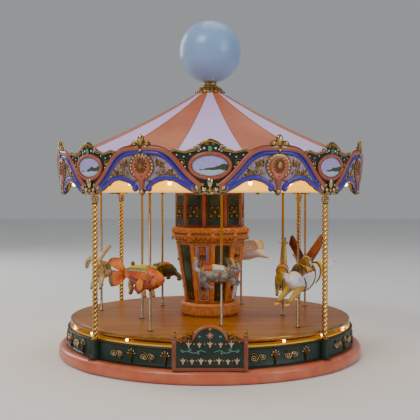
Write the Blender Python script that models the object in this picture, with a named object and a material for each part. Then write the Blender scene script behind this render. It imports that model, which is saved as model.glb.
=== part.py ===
"""A carousel music box: a round base with a wind-up movement, a turning deck with ten creatures that
rise and fall on poles, four fixed posts, a crown of rounding boards and a striped canopy.

Run with: blender --background --python part.py
Lengths are named below in millimetres; SCALE turns them into Blender's metres.
The front of the carousel faces -Y, and an angle is counted from the front towards +X.
"""

import math

import bmesh
import bpy
from mathutils import Vector

SCALE = 0.001  # metres in a millimetre

# --- Clearances ---------------------------------------------------------------------------------
GAP = 0.3  # between two pieces that touch or run past each other
KEY_FINGER_ROOM = 5.0  # from the key's wings to the wall of the well

# --- Base ---------------------------------------------------------------------------------------
DECK_RADIUS = 106.0
DECK_THICKNESS = 2.5
PLINTH_HEIGHT = 9.0
PLINTH_LEDGE = 7.5  # from the band's face to the plinth's edge
PLINTH_WALL = 11.0
BAND_MARGIN = 1.5  # from the deck's edge to the band's face
BAND_HEIGHT = 12.7
BAND_WALL = 2.0
PILASTER_WIDTH = 5.0
PILASTER_DEPTH = 4.2
CHANNEL_HEIGHT = 2.9
CHANNEL_WIDTH = 7.0
BASE_BULBS = 18
BASE_BULB_RADIUS = 0.9
BASE_BULB_FIRST_ANGLE = 8.0
FLOOR_LIFT = 0.8  # the bottom plate hangs clear of the table
BOTTOM_PLATE_THICKNESS = 2.2

# --- Posts, crown and canopy --------------------------------------------------------------------
POST_HEIGHT = 106.2
POST_RADIUS = 1.95
POST_INSET = 1.7  # from the band's face out to the post's axis
POST_FIRST_ANGLE = 45.0
CROWN_DROP = 9.5  # how far the boards hang below the hoop
CROWN_WALL = 2.1
CROWN_OVERHANG = 7.4  # the boards' lowest edge beyond the deck's edge
CROWN_FLARE = 2.1
CROWN_RAIL_HEIGHT = 27.7  # from the lowest point of the boards to their top rail
HOOP_WALL = 1.4
HOOP_HEIGHT = 16.0
HOOP_SHELF_WIDTH = 11.5
HOOP_SHELF_THICKNESS = 1.2
HOOP_SEAT_WIDTH = 4.0
HOOP_PLAY = 0.7  # between the hoop and the boards, beside the gap
CROWN_BAYS = 8
CROWN_BULB_ANGLE = 8.0  # each side of an arch's centre
CROWN_BULB_RADIUS = 1.4
CANOPY_SLOPE = 0.637  # at the axis
CANOPY_HOLLOW = 0.00118  # how fast the slope eases off, per millimetre
CANOPY_THICKNESS = 1.8  # measured straight down
CANOPY_OVERLAP = 2.0  # of its rim over the hoop
CANOPY_EYE = 7.0
COLLAR_RADIUS = 11.2
COLLAR_NECK = 4.8
COLLAR_HEIGHT = 6.0  # above the canopy's eye
BALL_RADIUS = 23.7

# --- Sign ---------------------------------------------------------------------------------------
SIGN_WIDTH = 47.6
SIGN_POST_WIDTH = 2.9
SIGN_POST_HEIGHT = 22.0
SIGN_FINIAL_RADIUS = 1.7
SIGN_DEPTH = 2.6
SIGN_BOARD_THICKNESS = 1.4
SIGN_SHOULDER_HEIGHT = 19.0
SIGN_ARCH_HALF_WIDTH = 9.7
SIGN_ARCH_HEIGHT = 29.4
SIGN_RAIL = 1.9

# --- Turning parts ------------------------------------------------------------------------------
TURN_AT_REST = 8.4
SPINDLE_RADIUS = 2.5
CEILING_INSET = 10.0  # from the deck's edge
CEILING_THICKNESS = 2.0
CEILING_RIM_HEIGHT = 13.8
CEILING_RIM_WALL = 1.5
CEILING_SETBACK = 1.9  # its underside sits this far above the crown's lowest point
TOWER_SIDES = 10
TOWER_TWIST = -4.0
TOWER_UPPER_TWIST = 18.0
TOWER_WALL = 2.0
TOWER_BASE_RADIUS = 23.2
TOWER_BASE_HEIGHT = 9.7
TOWER_FOOT_RADIUS = 19.0
TOWER_SHOULDER_RADIUS = 26.5
TOWER_CORNICE_RADIUS = 30.5
TOWER_CORNICE_HEIGHT = 10.7
TOWER_UPPER_RADIUS = 26.4
TOWER_UPPER_HEIGHT = 25.6

# --- Riders -------------------------------------------------------------------------------------
RIDERS_IN_RING = 5
OUTER_RIDER_INSET = 19.0  # from the deck's edge
INNER_TRACK_ROOM = 1.1  # between the inner lift track and what stands inside it
RIDER_TRAVEL = 4.0  # each way from rest
POLE_RADIUS = 0.9
POLE_FOOT_RADIUS = 2.0
POLE_FOOT_HEIGHT = 2.6
POLE_OVER_CEILING = 8.0
TRACK_WIDTH = 4.0
TRACK_WEB = 0.9

# --- Movement -----------------------------------------------------------------------------------
WELL_RADIUS = 20.0
WELL_DEPTH = 10.5
WELL_WALL = 1.7
ARBOR_RADIUS = 2.4
KEY_THICKNESS = 3.0
KEY_HEIGHT = 7.0
RATCHET_RADIUS = 8.0
RATCHET_THICKNESS = 1.2
BARREL_RADIUS = 17.0
BARREL_HEIGHT = 6.7
BARREL_WALL = 1.2
SPRING_TURNS = 3
SPRING_THICKNESS = 0.5
CROWN_WHEEL_TEETH = 36
CROWN_WHEEL_RADIUS = 24.0  # pitch circle
CROWN_WHEEL_FACE = 3.6
CROWN_WHEEL_RIM = 1.2
CROWN_WHEEL_DROP = 2.0  # below the deck
CYLINDER_PINION_TEETH = 9
CYLINDER_RADIUS = 5.0
CYLINDER_LENGTH = 17.0
CYLINDER_ARBOR_RADIUS = 1.2
GOVERNOR_WHEEL_TEETH = 32
GOVERNOR_PINION_TEETH = 8
GOVERNOR_MODULE = 0.5
GOVERNOR_WHEEL_WIDTH = 1.2
FLY_RADIUS = 4.0
FLY_LENGTH = 9.0
FLY_SHAFT_RADIUS = 0.6
GOVERNOR_MARGIN = 3.5  # from the fly's axis to the movement's side
BEDPLATE_THICKNESS = 1.2
END_PLAY = 0.6  # beside each wheel and upright on the cylinder's arbor
COMB_TEETH = 14
COMB_DEPTH = 14.0
COMB_THICKNESS = 0.8

# --- Power --------------------------------------------------------------------------------------
CELL_RADIUS = 5.25
CELL_LENGTH = 44.5
BATTERY_BOX_WALL = 1.2
BATTERY_BOX_START = 24.0  # from the axis to the box's inside
DOOR_THICKNESS = 1.8
SWITCH_TRAVEL = 3.5
SWITCH_WIDTH = 3.0
SWITCH_HEIGHT = 2.4

# --- Levels and radii that follow from the sizes above --------------------------------------------
band_radius = DECK_RADIUS + BAND_MARGIN
plinth_radius = band_radius + PLINTH_LEDGE
band_bottom = PLINTH_HEIGHT + GAP
band_top = band_bottom + BAND_HEIGHT
channel_bottom = band_top + GAP
channel_top = channel_bottom + CHANNEL_HEIGHT
deck_bottom = channel_top + GAP
deck_top = deck_bottom + DECK_THICKNESS
floor_top = FLOOR_LIFT + BOTTOM_PLATE_THICKNESS

post_ring = band_radius + POST_INSET
post_bottom = band_top + GAP
post_top = post_bottom + POST_HEIGHT
hoop_bottom = post_top + GAP
hoop_top = hoop_bottom + HOOP_HEIGHT
crown_bottom = hoop_bottom - CROWN_DROP
crown_rail = crown_bottom + CROWN_RAIL_HEIGHT
crown_radius = DECK_RADIUS + CROWN_OVERHANG
hoop_radius = crown_radius - CROWN_WALL - GAP - HOOP_PLAY
ceiling_radius = DECK_RADIUS - CEILING_INSET
ceiling_bottom = crown_bottom + CEILING_SETBACK
ceiling_top = ceiling_bottom + CEILING_THICKNESS
canopy_radius = hoop_radius + CANOPY_OVERLAP

outer_ring = DECK_RADIUS - OUTER_RIDER_INSET
track_base = floor_top + GAP
track_valley = track_base + TRACK_WEB + GAP
track_crest = track_valley + 2 * RIDER_TRAVEL
pole_foot = track_crest + GAP + RIDER_TRAVEL
pole_top = ceiling_top + POLE_OVER_CEILING

well_roof = FLOOR_LIFT + WELL_DEPTH
well_top = well_roof + WELL_WALL
barrel_bottom = well_top + 2 * GAP + RATCHET_THICKNESS + GAP
barrel_top = barrel_bottom + BARREL_HEIGHT
crown_module = 2 * CROWN_WHEEL_RADIUS / CROWN_WHEEL_TEETH
cylinder_pinion_radius = crown_module * CYLINDER_PINION_TEETH / 2
wheel_addendum = 0.75 * crown_module
wheel_dedendum = 1.05 * crown_module
wheel_top = deck_bottom - CROWN_WHEEL_DROP
wheel_root = wheel_top - CROWN_WHEEL_RIM
wheel_pitch = wheel_root - wheel_dedendum
cylinder_height = wheel_pitch - cylinder_pinion_radius
pinion_start = CROWN_WHEEL_RADIUS - CROWN_WHEEL_FACE / 2
pinion_end = CROWN_WHEEL_RADIUS + CROWN_WHEEL_FACE / 2
governor_wheel_radius = GOVERNOR_MODULE * GOVERNOR_WHEEL_TEETH / 2
governor_pinion_radius = GOVERNOR_MODULE * GOVERNOR_PINION_TEETH / 2
fly_offset = governor_wheel_radius + governor_pinion_radius
frame_near = pinion_end + END_PLAY
cylinder_start = frame_near + BEDPLATE_THICKNESS + END_PLAY
cylinder_end = cylinder_start + CYLINDER_LENGTH
governor_wheel_start = cylinder_end + 2 * END_PLAY
governor_wheel_end = governor_wheel_start + GOVERNOR_WHEEL_WIDTH
frame_far = governor_wheel_end + END_PLAY
frame_end = frame_far + BEDPLATE_THICKNESS
frame_side = fly_offset + GOVERNOR_MARGIN
bedplate_top = floor_top + GAP + BEDPLATE_THICKNESS

battery_half = CELL_LENGTH / 2 + 2 * GAP
battery_near = BATTERY_BOX_START
battery_far = battery_near + 4 * CELL_RADIUS + 3 * GAP

# The inner lift track runs round the movement and the battery box, whichever reaches further.
movement_reach = math.hypot(frame_side, frame_end)
battery_reach = math.hypot(battery_half + BATTERY_BOX_WALL, battery_far + BATTERY_BOX_WALL)
inner_ring = max(movement_reach, battery_reach) + INNER_TRACK_ROOM + TRACK_WIDTH / 2


def canopy_height(radius):
    """Height of the canopy's outer face at a radius, above the level of its rim."""
    def drop(at):
        return CANOPY_SLOPE * at - CANOPY_HOLLOW * at * at

    return drop(canopy_radius) - drop(radius)


canopy_rim = hoop_top + CANOPY_THICKNESS + 1.5 * GAP - canopy_height(hoop_radius)
collar_bottom = canopy_rim + canopy_height(CANOPY_EYE) + GAP
collar_top = collar_bottom + COLLAR_HEIGHT
ball_centre = collar_top + GAP + BALL_RADIUS


# --- Mesh helpers ---------------------------------------------------------------------------------
def clear_scene():
    for thing in list(bpy.data.objects):
        bpy.data.objects.remove(thing, do_unlink=True)


def polar(radius, angle, height=0.0):
    """The point at a radius and an angle in degrees, counted from the front (-Y) towards +X."""
    turn = math.radians(angle)
    return (radius * math.sin(turn), -radius * math.cos(turn), height)


def mesh_object(name, points, faces, material, smooth_angle=35.0):
    """Makes an object from points in millimetres, with its faces turned outwards."""
    mesh = bpy.data.meshes.new(name)
    mesh.from_pydata([[value * SCALE for value in point] for point in points], [], faces)
    work = bmesh.new()
    work.from_mesh(mesh)
    bmesh.ops.recalc_face_normals(work, faces=work.faces)
    work.to_mesh(mesh)
    work.free()
    mesh.shade_smooth()
    mesh.set_sharp_from_angle(angle=math.radians(smooth_angle))
    thing = bpy.data.objects.new(name, mesh)
    bpy.context.scene.collection.objects.link(thing)
    if material:
        mesh.materials.append(material)
    return thing


def ring_of_sections(name, sections, material, smooth_angle=35.0):
    """A closed ring through sections that all have the same number of (radius, angle, height) points."""
    count = len(sections[0])
    points = [polar(*corner) for section in sections for corner in section]
    faces = []
    for i in range(len(sections)):
        a = i * count
        b = (i + 1) % len(sections) * count
        for j in range(count):
            k = (j + 1) % count
            faces.append((a + j, a + k, b + k, b + j))
    return mesh_object(name, points, faces, material, smooth_angle)


def turned_ring(name, profile, material, segments=56, offset=0.0):
    """A profile of (radius, height) points, none on the axis, turned into a ring."""
    step = 360.0 / segments
    sections = [
        [(radius, offset + i * step, height) for radius, height in profile] for i in range(segments)
    ]
    return ring_of_sections(name, sections, material)


def turned_solid(name, profile, material, segments=24, offset=0.0):
    """A solid of revolution: the profile starts and ends on the axis."""
    inner = profile[1:-1]
    step = 360.0 / segments
    points = [(0, 0, profile[0][1]), (0, 0, profile[-1][1])]
    for i in range(segments):
        points += [polar(radius, offset + i * step, height) for radius, height in inner]
    faces = []
    for i in range(segments):
        a = 2 + i * len(inner)
        b = 2 + (i + 1) % segments * len(inner)
        faces.append((0, a, b))
        faces.append((1, b + len(inner) - 1, a + len(inner) - 1))
        for j in range(len(inner) - 1):
            faces.append((a + j, a + j + 1, b + j + 1, b + j))
    return mesh_object(name, points, faces, material)


def beaded_hoop(name, radius, height, bead_angles, bead_radius, wire_radius, material):
    """A wire hoop that swells into a round bulb at each of the angles."""
    sides = 5
    spread = math.degrees(bead_radius / radius)
    stations = []
    for angle in bead_angles:
        for share in (-1.0, -0.45, 0.45, 1.0):
            size = max(wire_radius, bead_radius * math.sqrt(1 - share * share))
            stations.append((angle + share * spread, size))
    sections = []
    for angle, size in sorted(stations):
        section = []
        for i in range(sides):
            turn = 2 * math.pi * i / sides
            section.append((radius + size * math.cos(turn), angle, height + size * math.sin(turn)))
        sections.append(section)
    return ring_of_sections(name, sections, material)


def prism(name, outline, start, end, material, axis="Z"):
    """An outline of (u, v) points extruded from start to end along an axis."""
    def place(u, v, w):
        if axis == "X":
            return (w, u, v)
        if axis == "Y":
            return (u, w, v)
        return (u, v, w)

    count = len(outline)
    points = [place(u, v, start) for u, v in outline] + [place(u, v, end) for u, v in outline]
    faces = [tuple(range(count)), tuple(range(count, 2 * count))]
    faces += [(i, (i + 1) % count, count + (i + 1) % count, count + i) for i in range(count)]
    return mesh_object(name, points, faces, material)


def box(name, low, high, material=None):
    outline = [(low[0], low[1]), (high[0], low[1]), (high[0], high[1]), (low[0], high[1])]
    return prism(name, outline, low[2], high[2], material)


def circle_outline(radius, sides, centre=(0.0, 0.0), phase=0.0):
    points = []
    for i in range(sides):
        turn = 2 * math.pi * i / sides + math.radians(phase)
        points.append((centre[0] + radius * math.cos(turn), centre[1] + radius * math.sin(turn)))
    return points


def rod(name, radius, start, end, material=None, axis="Z", centre=(0.0, 0.0), sides=12):
    return prism(name, circle_outline(radius, sides, centre), start, end, material, axis)


def hole_radius(radius, sides=12):
    """The corner radius of a faceted hole that clears a rod of this radius all round."""
    return (radius + GAP) / math.cos(math.pi / sides)


def loft(name, stations, material=None, sides=8):
    """A closed body through stations of (x, y, z, half width along y, half height along z)."""
    points = []
    for x, y, z, wide, high in stations:
        for i in range(sides):
            turn = 2 * math.pi * (i + 0.5) / sides
            points.append((x, y + wide * math.cos(turn), z + high * math.sin(turn)))
    faces = [tuple(range(sides)), tuple(range(len(points) - sides, len(points)))]
    for s in range(len(stations) - 1):
        for i in range(sides):
            j = (i + 1) % sides
            a = s * sides
            b = a + sides
            faces.append((a + i, a + j, b + j, b + i))
    return mesh_object(name, points, faces, material, 60.0)


def limb(name, start, end, start_radius, end_radius, flatten=1.0):
    """A tapered round limb from one point to another; flatten thins it along y."""
    sides = 6
    start = Vector(start)
    end = Vector(end)
    along = (end - start).normalized()
    side = Vector((0, 1, 0))
    up = along.cross(side).normalized()
    points = []
    for centre, radius in ((start, start_radius), (end, end_radius)):
        for i in range(sides):
            turn = 2 * math.pi * (i + 0.2) / sides
            point = centre + up * radius * math.cos(turn) + side * radius * flatten * math.sin(turn)
            points.append(tuple(point))
    faces = [tuple(range(sides)), tuple(range(sides, 2 * sides))]
    faces += [(i, (i + 1) % sides, sides + (i + 1) % sides, sides + i) for i in range(sides)]
    return mesh_object(name, points, faces, None)


def combine(body, others, operation):
    """Adds or cuts other objects, which become hidden helpers of the body."""
    for other in others:
        other.hide_render = True
        other.display_type = "WIRE"
        step = body.modifiers.new(operation.lower() + "_" + other.name, "BOOLEAN")
        step.operation = operation
        step.solver = "EXACT"
        step.object = other
    return body


def empty(name, parent=None, turn=0.0):
    thing = bpy.data.objects.new(name, None)
    bpy.context.scene.collection.objects.link(thing)
    thing.rotation_euler.z = math.radians(turn)
    thing.parent = parent
    return thing


def paint(name, colour, roughness, metallic=0.0):
    material = bpy.data.materials.new(name)
    material.use_nodes = True
    shader = material.node_tree.nodes["Principled BSDF"]
    shader.inputs["Base Color"].default_value = (*colour, 1.0)
    shader.inputs["Roughness"].default_value = roughness
    shader.inputs["Metallic"].default_value = metallic
    return material


# --- Materials ------------------------------------------------------------------------------------
CORAL = paint("coral paint", (0.62, 0.18, 0.11), 0.4)
GREEN = paint("dark green paint", (0.02, 0.07, 0.04), 0.35)
GOLD = paint("gold", (0.72, 0.48, 0.16), 0.3, 1.0)
LIGHT = paint("warm bulb", (1.0, 0.75, 0.35), 0.3)
CREAM = paint("cream paint", (0.85, 0.72, 0.45), 0.5)
CANVAS = paint("canopy paint", (0.78, 0.72, 0.82), 0.5)
PEARL = paint("ball pearl", (0.36, 0.52, 0.8), 0.3)
PLANK = paint("deck wood", (0.30, 0.16, 0.05), 0.45)
ORANGE = paint("tower orange", (0.65, 0.25, 0.07), 0.45)
STEEL = paint("steel", (0.55, 0.55, 0.57), 0.3, 1.0)
BRASS = paint("brass", (0.72, 0.52, 0.2), 0.35, 1.0)
BLACK = paint("black plastic", (0.02, 0.02, 0.02), 0.5)
BOARD = paint("crown paint", (0.25, 0.22, 0.55), 0.45)


# --- Base -----------------------------------------------------------------------------------------
def make_plinth():
    edge = plinth_radius
    top = PLINTH_HEIGHT
    profile = [
        (edge - PLINTH_WALL, 0.0),
        (edge - 2.5, 0.0),
        (edge - 0.7, 0.9),
        (edge, 0.32 * top),
        (edge, 0.58 * top),
        (edge - 0.8, 0.83 * top),
        (edge - 2.4, 0.97 * top),
        (edge - 4.0, top),
        (edge - PLINTH_WALL, top),
    ]
    return turned_ring("plinth", profile, CORAL)


def make_drum_band():
    """The green band, with the four pilasters that carry the posts moulded on it."""
    inner = band_radius - BAND_WALL
    section = [(inner, band_bottom), (band_radius, band_bottom)]
    section += [(band_radius, band_top), (inner, band_top)]
    band = turned_ring("drum_band", section, GREEN)
    pilasters = []
    for i in range(4):
        angle = POST_FIRST_ANGLE + 90.0 * i
        low = (-PILASTER_WIDTH / 2, -band_radius - PILASTER_DEPTH, band_bottom)
        high = (PILASTER_WIDTH / 2, -band_radius + BAND_WALL / 2, band_top)
        pilaster = box(f"pilaster_{i}", low, high)
        pilaster.rotation_euler.z = math.radians(angle)
        pilasters.append(pilaster)
    combine(band, pilasters, "UNION")
    middle = (band_bottom + band_top) / 2
    half_slot = (SWITCH_WIDTH + SWITCH_TRAVEL) / 2 + GAP
    half_height = SWITCH_HEIGHT / 2 + GAP
    low = (SWITCH_TRAVEL / 2 - half_slot, band_radius - 2 * BAND_WALL, middle - half_height)
    high = (SWITCH_TRAVEL / 2 + half_slot, band_radius + BAND_WALL, middle + half_height)
    combine(band, [box("switch_slot", low, high)], "DIFFERENCE")
    return band


def make_light_channel():
    outer = band_radius - 1.2
    inner = outer - CHANNEL_WIDTH
    floor = channel_bottom + 0.6
    profile = [
        (inner, channel_bottom),
        (outer, channel_bottom),
        (outer, floor),
        (inner + 4.0, floor),
        (inner + 2.2, floor + 0.4),
        (inner + 1.4, channel_top),
        (inner, channel_top),
    ]
    turned_ring("light_channel", profile, GOLD)
    bead_ring = outer - 2.9
    angles = [BASE_BULB_FIRST_ANGLE + i * 360.0 / BASE_BULBS for i in range(BASE_BULBS)]
    height = floor + GAP + BASE_BULB_RADIUS
    beaded_hoop("base_lamp_ring", bead_ring, height, angles, BASE_BULB_RADIUS, 0.3, LIGHT)


def make_bottom_plate():
    """The closing plate, with the key's well pressed up in it and the battery opening at the back."""
    edge = plinth_radius - PLINTH_WALL - GAP
    bore = hole_radius(ARBOR_RADIUS)
    profile = [
        (bore, well_roof),
        (WELL_RADIUS, well_roof),
        (WELL_RADIUS, FLOOR_LIFT),
        (edge, FLOOR_LIFT),
        (edge, floor_top),
        (WELL_RADIUS + WELL_WALL, floor_top),
        (WELL_RADIUS + WELL_WALL, well_top),
        (bore, well_top),
    ]
    plate = turned_ring("bottom_plate", profile, BLACK, 48)
    low = (-battery_half, battery_near, -1.0)
    opening = box("battery_opening", low, (battery_half, battery_far, floor_top + 1.0))
    combine(plate, [opening], "DIFFERENCE")
    return plate


def make_battery_parts():
    half, near, far = battery_half, battery_near, battery_far
    wall = BATTERY_BOX_WALL
    bottom = floor_top + GAP
    roof = bottom + 2 * CELL_RADIUS + 3 * GAP
    low = (-half - wall, near - wall, bottom)
    shell = box("battery_box", low, (half + wall, far + wall, roof + wall), BLACK)
    inside = box("battery_room", (-half, near, bottom - 1.0), (half, far, roof))
    combine(shell, [inside], "DIFFERENCE")

    centre_height = bottom + GAP + CELL_RADIUS
    first = near + GAP + CELL_RADIUS
    second = first + 2 * CELL_RADIUS + GAP
    end = CELL_LENGTH / 2
    pack = rod("battery_pack", CELL_RADIUS, -end, end, STEEL, "X", (first, centre_height), 14)
    other = rod("second_cell", CELL_RADIUS, -end, end, None, "X", (second, centre_height), 14)
    low = (end - 1.0, first, centre_height - 2.0)
    strap = box("cell_strap", low, (end + 0.3, second, centre_height + 2.0))
    combine(pack, [other, strap], "UNION")

    # The door turns on its lower outer edge, so its origin lies there.
    hinge = far - GAP
    side = half - GAP
    door = box("battery_door", (-side, near + GAP - hinge, 0), (side, 0, DOOR_THICKNESS), BLACK)
    door.location = (0, hinge * SCALE, FLOOR_LIFT * SCALE)


def make_light_switch():
    middle = (band_bottom + band_top) / 2
    start = band_radius - 2 * BAND_WALL
    outline = [
        (-SWITCH_WIDTH / 2, 0.0),
        (SWITCH_WIDTH / 2, 0.0),
        (SWITCH_WIDTH / 2, 2 * BAND_WALL + 0.8),
        (SWITCH_WIDTH / 2 - 0.5, 2 * BAND_WALL + 1.6),
        (0.5 - SWITCH_WIDTH / 2, 2 * BAND_WALL + 1.6),
        (-SWITCH_WIDTH / 2, 2 * BAND_WALL + 0.8),
    ]
    switch = prism("light_switch", outline, -SWITCH_HEIGHT / 2, SWITCH_HEIGHT / 2, BLACK)
    switch.location = (0, start * SCALE, middle * SCALE)


# --- Posts, crown and canopy ----------------------------------------------------------------------
def make_posts():
    names = ("post_front_right", "post_back_right", "post_back_left", "post_front_left")
    base = POST_RADIUS + 0.3
    capital = crown_bottom - 1.3
    profile = [
        (0, post_bottom),
        (base, post_bottom),
        (base, post_bottom + 1.6),
        (POST_RADIUS, post_bottom + 2.2),
        (POST_RADIUS, capital - 4.6),
        (POST_RADIUS + 0.8, capital - 2.6),
        (POST_RADIUS + 0.8, capital),
        (POST_RADIUS - 0.2, capital + 0.6),
        (POST_RADIUS - 0.2, post_top),
        (0, post_top),
    ]
    for i, name in enumerate(names):
        post = turned_solid(name, profile, GOLD, 8)
        x, y, _ = polar(post_ring, POST_FIRST_ANGLE + 90.0 * i)
        post.location = (x * SCALE, y * SCALE, 0)


# How far the crown's lower edge rises, and its top stands over the rail, by angle from a
# cartouche's centre: a hanging leaf, an open scallop, the arch's pendant; a crest, a plain
# rail, and the arch with its finial.
CROWN_EDGE = (
    (0.0, 0.0, 7.7),
    (3.0, 0.3, 3.0),
    (6.5, 3.2, 0.0),
    (10.5, 7.6, 0.0),
    (14.5, 9.1, 0.8),
    (18.5, 7.2, 3.0),
    (21.0, 2.0, 8.5),
    (22.5, 0.0, 11.4),
)


def make_crown_boards():
    bay = 360.0 / CROWN_BAYS
    columns = []
    for i in range(CROWN_BAYS):
        for angle, rise, over in CROWN_EDGE:
            columns.append((i * bay + angle, rise, over))
        for angle, rise, over in CROWN_EDGE[-2:0:-1]:
            columns.append(((i + 1) * bay - angle, rise, over))
    sections = []
    for angle, rise, over in columns:
        low = crown_bottom + rise
        top = crown_rail + over
        flare = CROWN_FLARE * rise / CROWN_RAIL_HEIGHT
        full = crown_radius + CROWN_FLARE
        sections.append(
            [
                (crown_radius + flare, angle, low),
                (full, angle, crown_rail),
                (full, angle, top),
                (full - CROWN_WALL, angle, top),
                (full - CROWN_WALL, angle, crown_rail),
                (crown_radius + flare - CROWN_WALL, angle, low),
            ]
        )
    return ring_of_sections("crown_boards", sections, BOARD)


def make_crown_hoop():
    """Joins the posts inside the boards: a shelf for the lamps below, a seat for the canopy above."""
    profile = [
        (hoop_radius - HOOP_SHELF_WIDTH, hoop_bottom),
        (hoop_radius, hoop_bottom),
        (hoop_radius, hoop_top),
        (hoop_radius - HOOP_SEAT_WIDTH, hoop_top),
        (hoop_radius - HOOP_SEAT_WIDTH, hoop_top - HOOP_WALL),
        (hoop_radius - HOOP_WALL, hoop_top - HOOP_WALL),
        (hoop_radius - HOOP_WALL, hoop_bottom + HOOP_SHELF_THICKNESS),
        (hoop_radius - HOOP_SHELF_WIDTH, hoop_bottom + HOOP_SHELF_THICKNESS),
    ]
    turned_ring("crown_hoop", profile, GOLD)
    bay = 360.0 / CROWN_BAYS
    angles = []
    for i in range(CROWN_BAYS):
        arch = bay * (i + 0.5)
        angles += [arch - CROWN_BULB_ANGLE, arch + CROWN_BULB_ANGLE]
    height = hoop_bottom - GAP - CROWN_BULB_RADIUS
    ring = hoop_radius - HOOP_SHELF_WIDTH + 4.5
    beaded_hoop("crown_lamp_ring", ring, height, angles, CROWN_BULB_RADIUS, 0.4, LIGHT)


def make_canopy():
    """The shell over the crown: steep by the collar, flatter at the rim."""
    rows = 4
    radii = [canopy_radius + (CANOPY_EYE - canopy_radius) * i / rows for i in range(rows + 1)]
    outside = [(radius, canopy_rim + canopy_height(radius)) for radius in radii]
    inside = [(radius, height - CANOPY_THICKNESS) for radius, height in reversed(outside)]
    return turned_ring("canopy", outside + inside, CANVAS, 32)


def make_top():
    """The bearing under the canopy, and the collar and ball above it."""
    bore = hole_radius(SPINDLE_RADIUS)
    underside = CANOPY_THICKNESS + 2 * GAP
    reach = CANOPY_EYE + 3.0
    profile = [
        (bore, canopy_rim + canopy_height(reach) - 9.0),
        (reach, canopy_rim + canopy_height(reach) - 9.0),
        (reach, canopy_rim + canopy_height(reach) - underside),
        (CANOPY_EYE - 0.5, canopy_rim + canopy_height(CANOPY_EYE) - underside),
        (bore, canopy_rim + canopy_height(CANOPY_EYE) - underside),
    ]
    turned_ring("top_bearing", profile, BRASS, 24)
    skirt = canopy_rim + canopy_height(COLLAR_RADIUS) + 2 * GAP
    profile = [
        (0, collar_bottom + GAP),
        (CANOPY_EYE, collar_bottom + GAP),
        (COLLAR_RADIUS, skirt),
        (COLLAR_RADIUS, skirt + 1.0),
        (0.7 * COLLAR_RADIUS, collar_bottom + 1.4),
        (COLLAR_NECK + 1.2, collar_top - 2.4),
        (COLLAR_NECK + 0.2, collar_top - 1.2),
        (COLLAR_NECK, collar_top),
        (0, collar_top),
    ]
    turned_solid("finial_collar", profile, GOLD, 20)
    rings = 12
    profile = []
    for i in range(rings + 1):
        turn = math.pi * i / rings
        profile.append((BALL_RADIUS * math.sin(turn), ball_centre - BALL_RADIUS * math.cos(turn)))
    turned_solid("finial_ball", profile, PEARL, 20)


# --- Sign -----------------------------------------------------------------------------------------
def sign_outline(grow):
    """The board's edge seen from the front: square shoulders and a round arch in the middle."""
    half = SIGN_WIDTH / 2 - SIGN_POST_WIDTH + grow
    bottom = PLINTH_HEIGHT + GAP + SIGN_RAIL + GAP - grow
    shoulder = PLINTH_HEIGHT + SIGN_SHOULDER_HEIGHT + grow
    arch = SIGN_ARCH_HALF_WIDTH + grow
    top = PLINTH_HEIGHT + SIGN_ARCH_HEIGHT - SIGN_RAIL + grow
    points = [(-half, bottom), (half, bottom), (half, shoulder), (arch, shoulder)]
    steps = 8
    for i in range(steps + 1):
        turn = math.pi * i / steps
        points.append((arch * math.cos(turn), shoulder + (top - shoulder) * math.sin(turn)))
    points += [(-arch, shoulder), (-half, shoulder)]
    clean = []
    for point in points:
        if not clean or math.dist(point, clean[-1]) > 0.01:
            clean.append(point)
    return clean


def make_sign():
    """A flat board in a frame whose two posts stand on the plinth's ledge, at the front."""
    middle = -(band_radius + 3.5)
    board_front = middle - SIGN_BOARD_THICKNESS / 2
    board_back = middle + SIGN_BOARD_THICKNESS / 2
    prism("sign_board", sign_outline(-GAP), board_front, board_back, GREEN, "Y")

    front = middle - SIGN_DEPTH / 2
    back = middle + SIGN_DEPTH / 2
    frame = prism("sign_frame", sign_outline(SIGN_RAIL - GAP), front, back, CORAL, "Y")
    window = prism("sign_window", sign_outline(0.0), front - 1.0, back + 1.0, None, "Y")
    combine(frame, [window], "DIFFERENCE")
    uprights = []
    for side in (-1, 1):
        centre = side * (SIGN_WIDTH - SIGN_POST_WIDTH) / 2
        low = (centre - SIGN_POST_WIDTH / 2, front, PLINTH_HEIGHT + GAP)
        top = PLINTH_HEIGHT + SIGN_POST_HEIGHT
        uprights.append(box(f"sign_post_{side}", low, (centre + SIGN_POST_WIDTH / 2, back, top)))
        size = SIGN_FINIAL_RADIUS
        profile = [
            (0, top - GAP),
            (0.8 * size, top - GAP),
            (0.5 * size, top + 0.3 * size),
            (size, top + 1.3 * size),
            (0.9 * size, top + 2.0 * size),
            (0.35 * size, top + 2.6 * size),
            (0, top + 2.8 * size),
        ]
        finial = turned_solid(f"sign_finial_{side}", profile, None, 8)
        finial.location = (centre * SCALE, middle * SCALE, 0)
        uprights.append(finial)
    combine(frame, uprights, "UNION")


# --- Turning parts --------------------------------------------------------------------------------
def pole_cutters(name, low, high):
    """One helper of ten separate rods that clears every pole."""
    sides = 8
    radius = hole_radius(POLE_RADIUS, sides)
    points = []
    faces = []
    for ring, turn in rider_places():
        start = len(points)
        x, y, _ = polar(ring, turn)
        outline = circle_outline(radius, sides, (x, y))
        points += [(u, v, low) for u, v in outline] + [(u, v, high) for u, v in outline]
        faces.append(tuple(range(start, start + sides)))
        faces.append(tuple(range(start + sides, start + 2 * sides)))
        for i in range(sides):
            j = (i + 1) % sides
            faces.append((start + i, start + j, start + sides + j, start + sides + i))
    return mesh_object(name, points, faces, None)


def rider_places():
    """Ring radius and angle on the deck of each pole: the outer ring first."""
    step = 360.0 / RIDERS_IN_RING
    outer = [(outer_ring, -36.0 + i * step) for i in range(RIDERS_IN_RING)]
    inner = [(inner_ring, i * step) for i in range(RIDERS_IN_RING)]
    return outer + inner


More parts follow.
